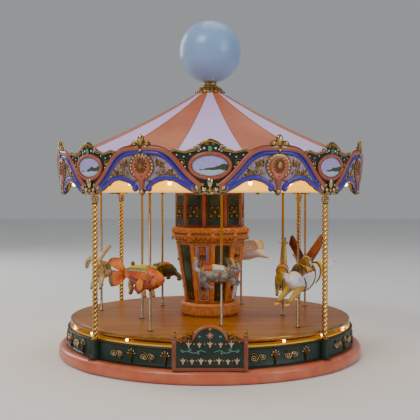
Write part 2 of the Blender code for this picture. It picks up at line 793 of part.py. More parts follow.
def make_deck(carousel):
    bore = hole_radius(SPINDLE_RADIUS)
    profile = [
        (bore, deck_bottom),
        (DECK_RADIUS - 0.4, deck_bottom),
        (DECK_RADIUS, deck_bottom + 0.4),
        (DECK_RADIUS, deck_top - 0.4),
        (DECK_RADIUS - 0.4, deck_top),
        (bore, deck_top),
    ]
    deck = turned_ring("deck", profile, PLANK)
    holes = pole_cutters("deck_holes", deck_bottom - 1.0, deck_top + 1.0)
    combine(deck, [holes], "DIFFERENCE")
    deck.parent = carousel
    holes.parent = carousel


def make_ceiling(carousel):
    bore = hole_radius(SPINDLE_RADIUS)
    rim_top = ceiling_bottom + CEILING_RIM_HEIGHT
    profile = [
        (bore, ceiling_bottom),
        (ceiling_radius, ceiling_bottom),
        (ceiling_radius, rim_top),
        (ceiling_radius - CEILING_RIM_WALL, rim_top),
        (ceiling_radius - CEILING_RIM_WALL, ceiling_top),
        (bore, ceiling_top),
    ]
    ceiling = turned_ring("ceiling_drum", profile, CREAM, 48)
    holes = pole_cutters("ceiling_holes", ceiling_bottom - 1.0, ceiling_top + 1.0)
    combine(ceiling, [holes], "DIFFERENCE")
    ceiling.parent = carousel
    holes.parent = carousel


def make_tower(carousel):
    """Four ten-sided pieces stacked round the spindle, from the deck to the ceiling."""
    bore = hole_radius(SPINDLE_RADIUS)
    base_bottom = deck_top + GAP
    base_top = base_bottom + TOWER_BASE_HEIGHT
    upper_top = ceiling_bottom - GAP
    upper_bottom = upper_top - TOWER_UPPER_HEIGHT
    cornice_top = upper_bottom - GAP
    cornice_bottom = cornice_top - TOWER_CORNICE_HEIGHT
    panels_bottom = base_top + GAP
    panels_top = cornice_bottom - GAP
    foot = TOWER_BASE_RADIUS
    profiles = {
        "tower_base": [
            (bore, base_bottom),
            (foot - 1.4, base_bottom),
            (foot - 0.2, base_bottom + 2.2),
            (foot, base_bottom + 0.5 * TOWER_BASE_HEIGHT),
            (foot - 0.6, base_top - 1.2),
            (foot - 1.4, base_top),
            (bore, base_top),
        ],
        "tower_panels": [
            (TOWER_FOOT_RADIUS - TOWER_WALL, panels_bottom),
            (TOWER_FOOT_RADIUS, panels_bottom),
            (TOWER_SHOULDER_RADIUS, panels_top),
            (TOWER_SHOULDER_RADIUS - TOWER_WALL, panels_top),
        ],
        "tower_cornice": [
            (bore, cornice_bottom),
            (TOWER_SHOULDER_RADIUS + 0.6, cornice_bottom),
            (TOWER_CORNICE_RADIUS - 1.0, cornice_bottom + 3.0),
            (TOWER_CORNICE_RADIUS, cornice_bottom + 4.0),
            (TOWER_CORNICE_RADIUS, cornice_top - 3.0),
            (TOWER_UPPER_RADIUS + 0.6, cornice_top),
            (bore, cornice_top),
        ],
        "tower_upper": [
            (TOWER_UPPER_RADIUS - TOWER_WALL, upper_bottom),
            (TOWER_UPPER_RADIUS, upper_bottom),
            (TOWER_UPPER_RADIUS, upper_top),
            (TOWER_UPPER_RADIUS - TOWER_WALL, upper_top),
        ],
    }
    for name, profile in profiles.items():
        twist = TOWER_UPPER_TWIST if name == "tower_upper" else TOWER_TWIST
        piece = turned_ring(name, profile, ORANGE, TOWER_SIDES, twist)
        piece.parent = carousel
    top = canopy_rim + canopy_height(CANOPY_EYE) - CANOPY_THICKNESS - 2 * GAP
    spindle = rod("spindle", SPINDLE_RADIUS, wheel_top + GAP, top, STEEL)
    spindle.parent = carousel


# --- Creatures ------------------------------------------------------------------------------------
# Each creature heads along +X with its pole at x = y = 0. A body is a list of stations, from
# tail to nose: (x, y, z, half width, half height). A limb is what limb() takes after its name.
def pair(start, end, start_radius, end_radius, flatten=1.0):
    """The same limb on both sides."""
    mirrored = [(x, -y, z) for x, y, z in (start, end)]
    return [
        (start, end, start_radius, end_radius, flatten),
        (mirrored[0], mirrored[1], start_radius, end_radius, flatten),
    ]


CREATURES = {
    "goldfish": (
        [(-20, 0, 2.2, 1.0, 2.4), (-13, 0, 1.4, 3.6, 5.4), (-6, 0, 0, 5.4, 7.6)]
        + [(1, 0, -0.2, 5.6, 7.6), (6, 0, -0.6, 4.4, 5.6), (10.5, 0, -0.9, 1.6, 2.2)],
        [((-18.5, 0, 2.6), (-29, 0, 9.8), 2.2, 3.4, 0.45)]
        + [((-18.5, 0, 1.6), (-27, 0, -4.6), 2.0, 3.0, 0.45)]
        + [((-5, 0, -6), (-9.5, 0, -10.6), 2.0, 1.0, 0.5)],
    ),
    "white_goose": (
        [(-9, 0, -1, 2.5, 2.5), (-3, 0, -1.3, 6.4, 7.0), (5, 0, -0.7, 7.6, 8.2)]
        + [(13, 0, 1.0, 6.4, 7.2), (20, 0, 4.2, 4.8, 5.2), (28, 0, 7.4, 4.5, 4.8), (35, 0, 8.4, 4.0, 4.1)]
        + [(44, 0, 7.6, 0.9, 1.0)],
        pair((-3, 4.2, -5), (-16, 4.8, -15), 2.6, 1.6)
        + [((4, 0, 6), (6, 0, 14), 3.2, 2.6, 1.2)],
    ),
    "red_eagle": (
        [(-15, 0, -3, 1.5, 1.2), (-8, 0, -1, 4.2, 4.4), (0, 0, 0, 5.0, 5.6), (8, 0, 2.5, 3.8, 4.4)]
        + [(13, 0, 6, 2.6, 2.8), (18, 0, 5.2, 0.8, 0.9)],
        pair((-1, 4, 2), (-3, 13, 22), 3.0, 2.0, 0.5) + pair((-2, 2.4, -4), (-4, 2.8, -10), 1.4, 1.0),
    ),
    "lion": (
        [(-16, 0, 0, 3.0, 4.0), (-9, 0, 0.6, 4.4, 5.0), (0, 0, 0.2, 4.6, 5.0), (7, 0, 2.4, 5.8, 7.0)]
        + [(12, 0, 4.0, 4.8, 5.6), (17, 0, 2.6, 2.2, 2.6)],
        pair((-12, 3, -3), (-17, 3.2, -12), 2.0, 1.4) + pair((6, 3, -3), (13, 3.2, -11), 1.9, 1.4),
    ),
    "rabbit": (
        [(-14, 0, -1, 3.4, 3.6), (-8, 0, 0.5, 5.6, 6.4), (0, 0, 0, 5.2, 5.8), (7, 0, 2.4, 4.4, 5.0)]
        + [(12, 0, 6.0, 3.6, 4.2), (17, 0, 5.0, 1.6, 1.8)],
        pair((10.5, 1.6, 6.5), (1, 5.0, 20), 1.3, 1.7, 0.6)
        + pair((-8, 3.0, -2.5), (-15, 4.4, -13), 2.4, 1.5)
        + pair((6.5, 2.0, 0.5), (13, 3.4, -11), 1.7, 1.3),
    ),
    "grey_cat": (
        [(-15, 0, 0.8, 3.4, 4.4), (-9, 0, 0.2, 4.4, 5.6), (-1, 0, 0, 4.2, 5.2), (5, 0, 0.4, 4.2, 5.6)]
        + [(9, 0, 3.4, 4.0, 4.8), (15, 0, 3.2, 1.8, 2.0)],
        [((-14, 0, 1), (-18.5, 0, 9), 1.3, 0.9, 1.0)] + pair((-13, 2.6, -3), (-14, 2.8, -10), 1.8, 1.2)
        + [((7, -2.4, -1), (8, -2.8, -17), 1.4, 0.9, 1.0), ((5, 2.4, -1.5), (12, 2.8, -8), 1.4, 1.0, 1.0)],
    ),
    "giraffe": (
        [(-14, 0, -2, 3.0, 3.6), (-7, 0, -0.6, 4.6, 5.2), (1, 0, 0, 4.4, 5.0), (7, 0, 1.6, 3.4, 4.6)],
        [((6, 0, 2), (11, 0, 20), 2.6, 1.5, 1.0), ((9.6, 0, 20), (16.5, 0, 17.5), 2.1, 1.2, 1.0)]
        + pair((-11, 2.6, -3), (-16, 2.8, -16), 1.7, 1.1) + pair((5, 2.4, -3), (10, 2.6, -15), 1.6, 1.0),
    ),
    "swan": (
        [(-24, 0, -3.4, 1.4, 1.6), (-15, 0, 1.4, 4.2, 3.8), (-7, 0, 0, 6.0, 6.0), (2, 0, 0, 6.2, 6.2)]
        + [(9, 0, -0.4, 4.4, 4.4), (13, 0, 0, 2.0, 2.4)],
        [((10, 0, 0), (14, 0, 11), 2.0, 1.5, 1.0), ((12.6, 0, 11.4), (19, 0, 9.6), 1.9, 0.8, 1.0)]
        + pair((-2, 4, 2), (-12, 6.4, 9), 3.4, 1.6, 0.45),
    ),
    "parrot": (
        [(-18, 0, -7, 1.4, 1.6), (-10, 0, -2.5, 3.8, 4.2), (-2, 0, 0, 5.0, 5.8), (5, 0, 3, 4.6, 5.4)]
        + [(10, 0, 6.4, 3.4, 3.8), (14, 0, 4.6, 1.0, 1.2)],
        pair((-1, 4, 1), (-10, 6.0, -2), 3.2, 1.2, 0.4) + pair((-1, 2, -4), (-2, 2.2, -9), 1.2, 0.9),
    ),
    "tortoise": (
        [(-15, 0, -1.6, 1.6, 1.4), (-11, 0, 0, 5.6, 3.6), (-4, 0, 1.4, 7.6, 5.6), (4, 0, 1.2, 7.2, 5.4)]
        + [(10, 0, 0, 4.0, 3.0), (15, 0, 1.8, 2.8, 2.8), (18.5, 0, 1.8, 1.2, 1.4)],
        pair((-9, 4.6, -1), (-13, 7.4, -7), 1.9, 1.4) + pair((6, 4.6, -1), (10, 7.2, -7), 1.9, 1.4),
    ),
}

# The creature on each pole, in the order of rider_places, its height above the deck and its coat.
RIDERS = (
    ("goldfish", 36.0, (0.78, 0.17, 0.03)),
    ("white_goose", 34.0, (0.82, 0.80, 0.76)),
    ("red_eagle", 35.0, (0.32, 0.07, 0.04)),
    ("parrot", 29.0, (0.72, 0.25, 0.04)),
    ("rabbit", 31.0, (0.80, 0.76, 0.66)),
    ("grey_cat", 36.0, (0.34, 0.33, 0.32)),
    ("giraffe", 33.0, (0.52, 0.47, 0.10)),
    ("swan", 43.0, (0.80, 0.80, 0.80)),
    ("tortoise", 28.0, (0.20, 0.24, 0.12)),
    ("lion", 29.0, (0.62, 0.38, 0.12)),
)


def make_creature(name, holder, height, coat):
    stations, limbs = CREATURES[name]
    creature = loft(name, stations, paint(f"{name} coat", coat, 0.45))
    parts = [limb(f"{name}_limb_{i}", *numbers) for i, numbers in enumerate(limbs)]
    combine(creature, parts, "UNION")
    hole = rod(f"{name}_hole", hole_radius(POLE_RADIUS, 8), -40.0, 40.0, sides=8)
    combine(creature, [hole], "DIFFERENCE")
    for piece in [creature, hole] + parts:
        piece.parent = holder
        piece.location.z = height * SCALE
    return creature


def make_riders(carousel):
    """Each pole stands on its own axis, with its creature on it."""
    profile = [
        (0, pole_foot),
        (0.6 * POLE_FOOT_RADIUS, pole_foot),
        (POLE_FOOT_RADIUS, pole_foot + 0.35 * POLE_FOOT_HEIGHT),
        (POLE_FOOT_RADIUS, pole_foot + 0.7 * POLE_FOOT_HEIGHT),
        (POLE_RADIUS, pole_foot + POLE_FOOT_HEIGHT),
        (POLE_RADIUS, pole_top),
        (0, pole_top),
    ]
    for (name, height, coat), (ring, angle) in zip(RIDERS, rider_places()):
        axis = empty(f"{name}_axis", carousel, angle)
        x, y, _ = polar(ring, angle)
        axis.location = (x * SCALE, y * SCALE, 0)
        pole = turned_solid(f"{name}_pole", profile, STEEL, 8)
        pole.parent = axis
        make_creature(name, axis, deck_top + height, coat)


# --- Movement -------------------------------------------------------------------------------------
def make_lift_tracks():
    """Two wavy rings that the poles' feet would ride on, in step but half a wave apart."""
    outer_low = outer_ring - TRACK_WIDTH / 2
    outer_high = outer_ring + TRACK_WIDTH / 2
    inner_low = inner_ring - TRACK_WIDTH / 2
    inner_high = inner_ring + TRACK_WIDTH / 2
    middle = (track_valley + track_crest) / 2
    columns = 8 * RIDERS_IN_RING
    sections = []
    for i in range(columns):
        angle = 360.0 * i / columns
        wave = RIDER_TRAVEL * math.cos(math.radians(RIDERS_IN_RING * angle))
        sections.append(
            [
                (inner_low, angle, track_base),
                (outer_high, angle, track_base),
                (outer_high, angle, middle + wave),
                (outer_low, angle, middle + wave),
                (outer_low, angle, track_base + TRACK_WEB),
                (inner_high, angle, track_base + TRACK_WEB),
                (inner_high, angle, middle - wave),
                (inner_low, angle, middle - wave),
            ]
        )
    return ring_of_sections("lift_tracks", sections, BLACK)


def make_winding_parts():
    """The key in its well, and the arbor that it turns, with the ratchet wheel on it."""
    top = barrel_top - BARREL_WALL - 2 * GAP
    arbor = rod("winding_arbor", ARBOR_RADIUS, FLOOR_LIFT + 4.0, top, STEEL)
    ratchet_bottom = well_top + GAP
    teeth = 12
    outline = []
    for i in range(teeth):
        outline.append((RATCHET_RADIUS, 360.0 * i / teeth))
        outline.append((RATCHET_RADIUS - 1.4, 360.0 * i / teeth + 3.0))
    outline = [polar(radius, angle)[:2] for radius, angle in outline]
    ratchet = prism("ratchet_wheel", outline, ratchet_bottom, ratchet_bottom + RATCHET_THICKNESS, None)
    combine(arbor, [ratchet], "UNION")

    reach = WELL_RADIUS - KEY_FINGER_ROOM
    low = FLOOR_LIFT + 0.7
    high = low + KEY_HEIGHT
    outline = [(-reach, low + 1.2), (-reach + 1.5, low), (reach - 1.5, low), (reach, low + 1.2)]
    outline += [(reach, high - 1.2), (reach - 1.5, high), (-reach + 1.5, high), (-reach, high - 1.2)]
    key = prism("winding_key", outline, -KEY_THICKNESS / 2, KEY_THICKNESS / 2, BRASS, "Y")
    hub = rod("key_hub", ARBOR_RADIUS + 1.6, low, well_roof - GAP)
    bore = rod("key_bore", hole_radius(ARBOR_RADIUS), FLOOR_LIFT + 4.0 - GAP, well_roof + 1.0)
    combine(key, [hub], "UNION")
    combine(key, [bore], "DIFFERENCE")


def make_spring_barrel(carousel):
    """The barrel, closed on top by the crown wheel that carries the spindle."""
    rim = pinion_start
    profile = [
        (0, barrel_top - BARREL_WALL),
        (BARREL_RADIUS - BARREL_WALL, barrel_top - BARREL_WALL),
        (BARREL_RADIUS - BARREL_WALL, barrel_bottom),
        (BARREL_RADIUS, barrel_bottom),
        (BARREL_RADIUS, wheel_root),
        (rim + 0.5, wheel_root),
        (rim + 0.5, wheel_top),
        (0, wheel_top),
    ]
    barrel = turned_solid("spring_barrel", profile, BRASS, 28)
    pitch = 360.0 / CROWN_WHEEL_TEETH
    sections = []
    for i in range(CROWN_WHEEL_TEETH):
        # Half a pitch off the front, so that a gap faces the pinion's topmost tooth.
        centre = pitch * (i + 0.5)
        for share, level in ((-0.36, 1.0), (-0.12, 0.0), (0.12, 0.0), (0.36, 1.0)):
            tip = wheel_pitch - wheel_addendum
            low = tip + level * (wheel_root - tip)
            angle = centre + share * pitch
            section = [(rim, angle, low), (pinion_end, angle, low)]
            section += [(pinion_end, angle, wheel_top), (rim, angle, wheel_top)]
            sections.append(section)
    teeth = ring_of_sections("crown_wheel_teeth", sections, None)
    combine(barrel, [teeth], "UNION")
    for piece in (barrel, teeth):
        piece.parent = carousel
        piece.rotation_euler.z = math.radians(-TURN_AT_REST)

    steps = 14 * SPRING_TURNS
    first = ARBOR_RADIUS + 1.5
    last = BARREL_RADIUS - BARREL_WALL - GAP - SPRING_THICKNESS
    low = barrel_bottom + 0.4
    high = barrel_top - BARREL_WALL - GAP
    points = []
    faces = []
    for i in range(steps + 1):
        angle = 360.0 * SPRING_TURNS * i / steps
        radius = first + (last - first) * i / steps
        points += [polar(radius, angle, low), polar(radius + SPRING_THICKNESS, angle, low)]
        points += [polar(radius + SPRING_THICKNESS, angle, high), polar(radius, angle, high)]
        if i:
            a = 4 * (i - 1)
            b = 4 * i
            faces += [(a + j, a + (j + 1) % 4, b + (j + 1) % 4, b + j) for j in range(4)]
    faces += [(0, 1, 2, 3), (4 * steps, 4 * steps + 1, 4 * steps + 2, 4 * steps + 3)]
    mesh_object("mainspring", points, faces, STEEL).parent = carousel


def gear_outline(teeth, module, phase):
    """A spur gear's edge, with narrow straight-flanked teeth that run free in a neighbour's gaps."""
    pitch = 2 * math.pi / teeth
    radius = module * teeth / 2
    points = []
    for i in range(teeth):
        centre = math.radians(phase) + i * pitch
        for share, at in ((-0.30, radius - module), (-0.10, radius + 0.75 * module)):
            points.append((at * math.cos(centre + share * pitch), at * math.sin(centre + share * pitch)))
        for share, at in ((0.10, radius + 0.75 * module), (0.30, radius - module)):
            points.append((at * math.cos(centre + share * pitch), at * math.sin(centre + share * pitch)))
    return points


def shifted(outline, across, up):
    return [(u + across, v + up) for u, v in outline]


def make_cylinder():
    """The pinned cylinder, which lies along a radius at the front, on an arbor with its two gears."""
    level = cylinder_height
    centre = (0.0, level)
    bore = hole_radius(CYLINDER_ARBOR_RADIUS)
    cylinder = rod(
        "music_cylinder", CYLINDER_RADIUS, -cylinder_start, -cylinder_end, BRASS, "Y", centre, 16
    )
    hollow = rod("cylinder_bore", bore, -cylinder_start + 1, -cylinder_end - 1, None, "Y", centre)
    combine(cylinder, [hollow], "DIFFERENCE")

    start = -(pinion_start + 0.3)
    end = -(frame_end + END_PLAY)
    arbor = rod("cylinder_arbor", CYLINDER_ARBOR_RADIUS, start, end, STEEL, "Y", centre)
    pinion = shifted(gear_outline(CYLINDER_PINION_TEETH, crown_module, 90.0), 0.0, level)
    wheel = shifted(gear_outline(GOVERNOR_WHEEL_TEETH, GOVERNOR_MODULE, 0.0), 0.0, level)
    gears = [
        prism("cylinder_pinion", pinion, start + 0.1, -(pinion_end - 0.3), None, "Y"),
        prism("governor_wheel", wheel, -governor_wheel_start, -governor_wheel_end, None, "Y"),
    ]
    combine(arbor, gears, "UNION")


def make_governor():
    """The fly beside the cylinder, spun by its wheel."""
    centre = (fly_offset, cylinder_height)
    phase = 180.0 + 180.0 / GOVERNOR_PINION_TEETH
    outline = shifted(gear_outline(GOVERNOR_PINION_TEETH, GOVERNOR_MODULE, phase), *centre)
    start = -(cylinder_start + 1.4)
    end = -(frame_end + END_PLAY)
    fly = rod("governor_fly", FLY_SHAFT_RADIUS, start, end, BRASS, "Y", centre, 8)
    pinion = prism(
        "governor_pinion", outline, -governor_wheel_start + 0.1, -governor_wheel_end - 0.1, None, "Y"
    )
    blade_end = -(governor_wheel_start - 2 * END_PLAY)
    blade_start = blade_end + FLY_LENGTH
    low = (centre[0] - 0.35, blade_end, centre[1] - FLY_RADIUS)
    blade = box("fly_blade", low, (centre[0] + 0.35, blade_start, centre[1] + FLY_RADIUS))
    combine(fly, [pinion, blade], "UNION")


def make_bedplate():
    """The movement's bed: a plate with an upright at each end of the cylinder."""
    bottom = floor_top + GAP
    near = -frame_near
    far = -frame_end
    bed = box("movement_bedplate", (-9.0, far, bottom), (frame_side, near, bedplate_top), BRASS)
    top = cylinder_height + 3.4
    far_upright = box("far_upright", (-4.0, far, bottom), (frame_side, -frame_far, top))
    near_upright = box("near_upright", (-4.0, near - BEDPLATE_THICKNESS, bottom), (4.0, near, top))
    combine(bed, [far_upright, near_upright], "UNION")
    arbor_room = hole_radius(CYLINDER_ARBOR_RADIUS)
    fly_room = hole_radius(FLY_SHAFT_RADIUS, 8)
    fly_centre = (fly_offset, cylinder_height)
    bores = [
        rod("arbor_bore", arbor_room, near + 5, far - 5, None, "Y", (0.0, cylinder_height)),
        rod("fly_bore", fly_room, near + 5, far - 5, None, "Y", fly_centre, 8),
    ]
    combine(bed, bores, "DIFFERENCE")

    # A small bracket carries the fly's inner end.
    place = -(cylinder_start + 2.2)
    low = (fly_offset - 2.0, place - 1.0, bedplate_top + GAP)
    bracket = box("governor_bracket", low, (fly_offset + 2.0, place, cylinder_height + 2.4), BRASS)
    hole = rod("bracket_bore", fly_room, place + 3, place - 3, None, "Y", fly_centre, 8)
    combine(bracket, [hole], "DIFFERENCE")


def make_comb():
    """A steel comb whose teeth end just short of the cylinder, at its axis height."""
    tip = -(CYLINDER_RADIUS + 0.5)
    root = tip - 0.6 * COMB_DEPTH
    back = tip - COMB_DEPTH
    pitch = (CYLINDER_LENGTH - 1.0) / COMB_TEETH
    tooth = 0.6 * pitch
    start = -(cylinder_start + 0.5)
    outline = [(back, start)]
    for i in range(COMB_TEETH):
        first = start - i * pitch
        outline += [(root, first), (tip, first), (tip, first - tooth), (root, first - tooth)]
    outline.append((back, outline[-1][1]))
    low = cylinder_height - COMB_THICKNESS / 2
    comb = prism("comb", outline, low, low + COMB_THICKNESS, STEEL)
    foot_end = outline[-1][1] + 0.5
    foot = box("comb_foot", (back + 0.5, foot_end, floor_top + GAP), (back + 4.0, start - 0.5, low + 0.2))
    combine(comb, [foot], "UNION")


def main():
    clear_scene()
    carousel = empty("carousel_axis", None, TURN_AT_REST)
    make_plinth()
    make_drum_band()
    make_light_channel()
    make_bottom_plate()
    make_battery_parts()
    make_light_switch()
    make_posts()
    make_crown_boards()
    make_crown_hoop()
    make_canopy()
    make_top()
    make_sign()
    make_deck(carousel)
    make_ceiling(carousel)
    make_tower(carousel)
    make_riders(carousel)
    make_lift_tracks()
    make_winding_parts()
    make_spring_barrel(carousel)
    make_cylinder()
    make_governor()
    make_bedplate()
    make_comb()


main()
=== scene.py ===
"""The carousel music box's looks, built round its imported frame."""

import math

import bpy
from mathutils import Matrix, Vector


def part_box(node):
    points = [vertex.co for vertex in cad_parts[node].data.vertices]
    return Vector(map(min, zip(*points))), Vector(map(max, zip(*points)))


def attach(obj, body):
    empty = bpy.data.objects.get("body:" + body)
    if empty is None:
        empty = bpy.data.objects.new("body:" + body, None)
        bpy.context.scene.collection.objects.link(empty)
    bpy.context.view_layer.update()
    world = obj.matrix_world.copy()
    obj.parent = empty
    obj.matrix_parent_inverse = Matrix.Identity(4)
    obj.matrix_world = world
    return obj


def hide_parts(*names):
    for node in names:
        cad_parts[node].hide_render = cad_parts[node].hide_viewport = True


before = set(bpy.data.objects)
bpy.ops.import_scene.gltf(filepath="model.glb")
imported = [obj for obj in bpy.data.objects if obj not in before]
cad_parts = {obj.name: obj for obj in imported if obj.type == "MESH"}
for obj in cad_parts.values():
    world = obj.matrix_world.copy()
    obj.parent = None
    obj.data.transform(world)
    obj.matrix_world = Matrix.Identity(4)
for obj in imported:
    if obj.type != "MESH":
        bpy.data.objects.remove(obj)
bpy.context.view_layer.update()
MM = 0.001


def low(node, axis=2):
    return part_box(node)[0][axis] / MM


def high(node, axis=2):
    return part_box(node)[1][axis] / MM


def middle(node):
    a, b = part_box(node)
    return ((a.x + b.x) / 2 / MM, (a.y + b.y) / 2 / MM)


def angle_of(x, y):
    """Degrees from the front (-Y) towards +X."""
    return math.degrees(math.atan2(x, -y))


def polar(radius, angle, height):
    turn = math.radians(angle)
    return (radius * math.sin(turn), -radius * math.cos(turn), height)


# --- Mesh code: shapes are (points, faces) in millimetres, gathered into pieces ---------------
class Piece:
    def __init__(self):
        self.points = []
        self.faces = []
        self.paints = []
        self.marks = []
        self.spots = []

    def add(self, shape, paint, spots=None):
        points, faces = shape
        base = len(self.points)
        if paint not in self.paints:
            self.paints.append(paint)
        mark = self.paints.index(paint)
        self.points += points
        self.faces += [tuple(base + i for i in face) for face in faces]
        self.marks += [mark] * len(faces)
        self.spots += spots if spots else [(0.0, 0.0)] * len(points)
        return self

    def make(self, name, body, nodes=(), slot=None, sharp=38.0, smooth=0):
        mesh = bpy.data.meshes.new(name)
        mesh.from_pydata([Vector(p) * MM for p in self.points], [], self.faces)
        for paint in self.paints:
            mesh.materials.append(paint)
        mesh.polygons.foreach_set("material_index", self.marks)
        layer = mesh.uv_layers.new(name="spot")
        for loop in mesh.loops:
            layer.data[loop.index].uv = self.spots[loop.vertex_index]
        mesh.shade_smooth()
        mesh.set_sharp_from_angle(angle=math.radians(sharp))
        mesh.update()
        thing = bpy.data.objects.new(name, mesh)
        bpy.context.scene.collection.objects.link(thing)
        if smooth:
            step = thing.modifiers.new("smooth", "SUBSURF")
            step.levels = step.render_levels = smooth
        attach(thing, body)
        if nodes:
            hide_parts(*nodes)
        return thing


def skin(rows, around=True, closed=False, caps=True):
    """Faces between rows of points; around joins each row's ends, closed joins the last row to the first."""
    n = len(rows[0])
    points = [tuple(p) for row in rows for p in row]
    faces = []
    for r in range(len(rows) if closed else len(rows) - 1):
        a = r * n
        b = (r + 1) % len(rows) * n
        for i in range(n if around else n - 1):
            j = (i + 1) % n
            faces.append((a + i, b + i, b + j, a + j))
    if around and caps and not closed:
        faces.append(tuple(range(n)))
        faces.append(tuple(reversed(range(len(points) - n, len(points)))))
    return points, faces


def lathe(profile, segments=128, turn=0.0, closed=False, bulge=None):
    """A profile of (radius, height) turned about the axis; bulge moves each point out by its angle."""
    rows = []
    for radius, height in profile:
        row = []
        for i in range(segments):
            angle = turn + 360.0 * i / segments
            row.append(polar(radius + (bulge(angle, height) if bulge else 0.0), angle, height))
        rows.append(row)
    return skin(rows, closed=closed, caps=not closed)


def curve(points, per=6, closed=False):
    """A smooth path through points of any dimension."""
    n = len(points)
    out = []
    for i in range(n if closed else n - 1):
        if closed:
            p = [points[(i + k) % n] for k in (-1, 0, 1, 2)]
        else:
            p = [points[min(max(i + k, 0), n - 1)] for k in (-1, 0, 1, 2)]
        for k in range(per):
            t = k / per
            w = (
                -0.5 * t + t * t - 0.5 * t**3,
                1 - 2.5 * t * t + 1.5 * t**3,
                0.5 * t + 2 * t * t - 1.5 * t**3,
                -0.5 * t * t + 0.5 * t**3,
            )
            out.append(tuple(sum(w[m] * p[m][d] for m in range(4)) for d in range(len(points[0]))))
    if not closed:
        out.append(tuple(points[-1]))
    return out


def spiral(centre, outer, inner, start, turns, steps=22):
    """A curl in the plane, from its outer end to its eye; turns is negative for the other hand."""
    path = []
    for i in range(steps + 1):
        t = i / steps
        turn = math.radians(start + 360.0 * turns * t)
        radius = outer + (inner - outer) * t**0.8
        path.append((centre[0] + radius * math.cos(turn), centre[1] + radius * math.sin(turn)))
    return path


def oval(centre, wide, high_, steps=40, start=0.0):
    path = []
    for i in range(steps):
        turn = 2 * math.pi * i / steps + start
        path.append((centre[0] + wide * math.cos(turn), centre[1] + high_ * math.sin(turn)))
    return path


def share(value, t):
    return value(t) if callable(value) else value


def strip(path, width, height, place, base=0.0, cut=8, closed=False):
    """A rounded moulding that lies on a surface along a path of (s, z); place gives the point in space."""
    rows = []
    n = len(path)
    for i, (s, z) in enumerate(path):
        if closed:
            a, b = path[i - 1], path[(i + 1) % n]
        else:
            a, b = path[max(i - 1, 0)], path[min(i + 1, n - 1)]
        turn = math.atan2(b[1] - a[1], b[0] - a[0])
        t = i / max(n - 1, 1)
        w = share(width, t) / 2
        h = share(height, t)
        row = []
        for k in range(cut):
            u = 2 * math.pi * (k + 0.5) / cut
            across = w * math.cos(u)
            out = h * math.sin(u) if math.sin(u) > 0 else 0.35 * h * math.sin(u)
            row.append(place(s - across * math.sin(turn), z + across * math.cos(turn), base + out))
        rows.append(row)
    return skin(rows, closed=closed)


def bud(path_width):
    """A width that swells and closes again along a leaf."""
    return lambda t: path_width * (0.12 + 0.88 * math.sin(math.pi * min(1.0, 0.04 + 0.96 * t)) ** 0.8)


def tail(wide, narrow):
    return lambda t: wide + (narrow - wide) * t


def dome(outline, centre, levels, place):
    """Rings of an outline shrunk towards its centre: levels are (share of the outline, depth)."""
    rows = []
    for size, depth in levels:
        rows.append(
            [place(centre[0] + (s - centre[0]) * size, centre[1] + (z - centre[1]) * size, depth) for s, z in outline]
        )
    return skin(rows, caps=True)


def bead(s, z, radius, place, base=0.0, sides=10, flat=0.8):
    levels = [(1.0, base), (0.92, base + 0.4 * radius * flat), (0.7, base + 0.72 * radius * flat)]
    levels += [(0.38, base + 0.94 * radius * flat), (0.08, base + radius * flat)]
    return dome(oval((s, z), radius, radius, sides), (s, z), levels, place)


def tube(path, radius, sides=10, flatten=1.0, side=None, caps=True):
    """A round bar along a path in space; radius may change along it, flatten thins it along side."""
    rows = []
    n = len(path)
    path = [Vector(p) for p in path]
    guide = Vector(side) if side else None
    last = None
    for i, p in enumerate(path):
        along = (path[min(i + 1, n - 1)] - path[max(i - 1, 0)]).normalized()
        if last is None:
            first = guide or (Vector((0, 1, 0)) if abs(along.y) < 0.9 else Vector((1, 0, 0)))
            last = (first - along * first.dot(along)).normalized()
        else:
            last = ((guide or last) - along * (guide or last).dot(along)).normalized()
        other = along.cross(last)
        r = share(radius, i / max(n - 1, 1))
        row = []
        for k in range(sides):
            u = 2 * math.pi * k / sides
            row.append(tuple(p + last * r * flatten * math.cos(u) + other * r * math.sin(u)))
        rows.append(row)
    return skin(rows, caps=caps)


def ball(centre, radius, rings=8, sides=14, stretch=(1.0, 1.0, 1.0)):
    rows = []
    for i in range(rings + 1):
        a = math.pi * (0.02 + 0.96 * i / rings)
        row = []
        for k in range(sides):
            b = 2 * math.pi * k / sides
            x, y, z = math.sin(a) * math.cos(b), math.sin(a) * math.sin(b), -math.cos(a)
            row.append(tuple(centre[m] + radius * stretch[m] * (x, y, z)[m] for m in range(3)))
        rows.append(row)
    return skin(rows)


def body_loft(stations, sides=20, per=5):
    """A smooth body through stations of (x, y, z, half width, half height)."""
    rows = []
    for x, y, z, wide, tall in curve(stations, per):
        row = []
        for k in range(sides):
            u = 2 * math.pi * k / sides
            row.append((x, y + max(wide, 0.05) * math.cos(u), z + max(tall, 0.05) * math.sin(u)))
        rows.append(row)
    return skin(rows)


def moved(shape, x=0.0, y=0.0, z=0.0, turn=0.0):
    """A shape turned about +Z by degrees and then shifted."""
    c, s = math.cos(math.radians(turn)), math.sin(math.radians(turn))
    return [(c * p[0] - s * p[1] + x, s * p[0] + c * p[1] + y, p[2] + z) for p in shape[0]], shape[1]


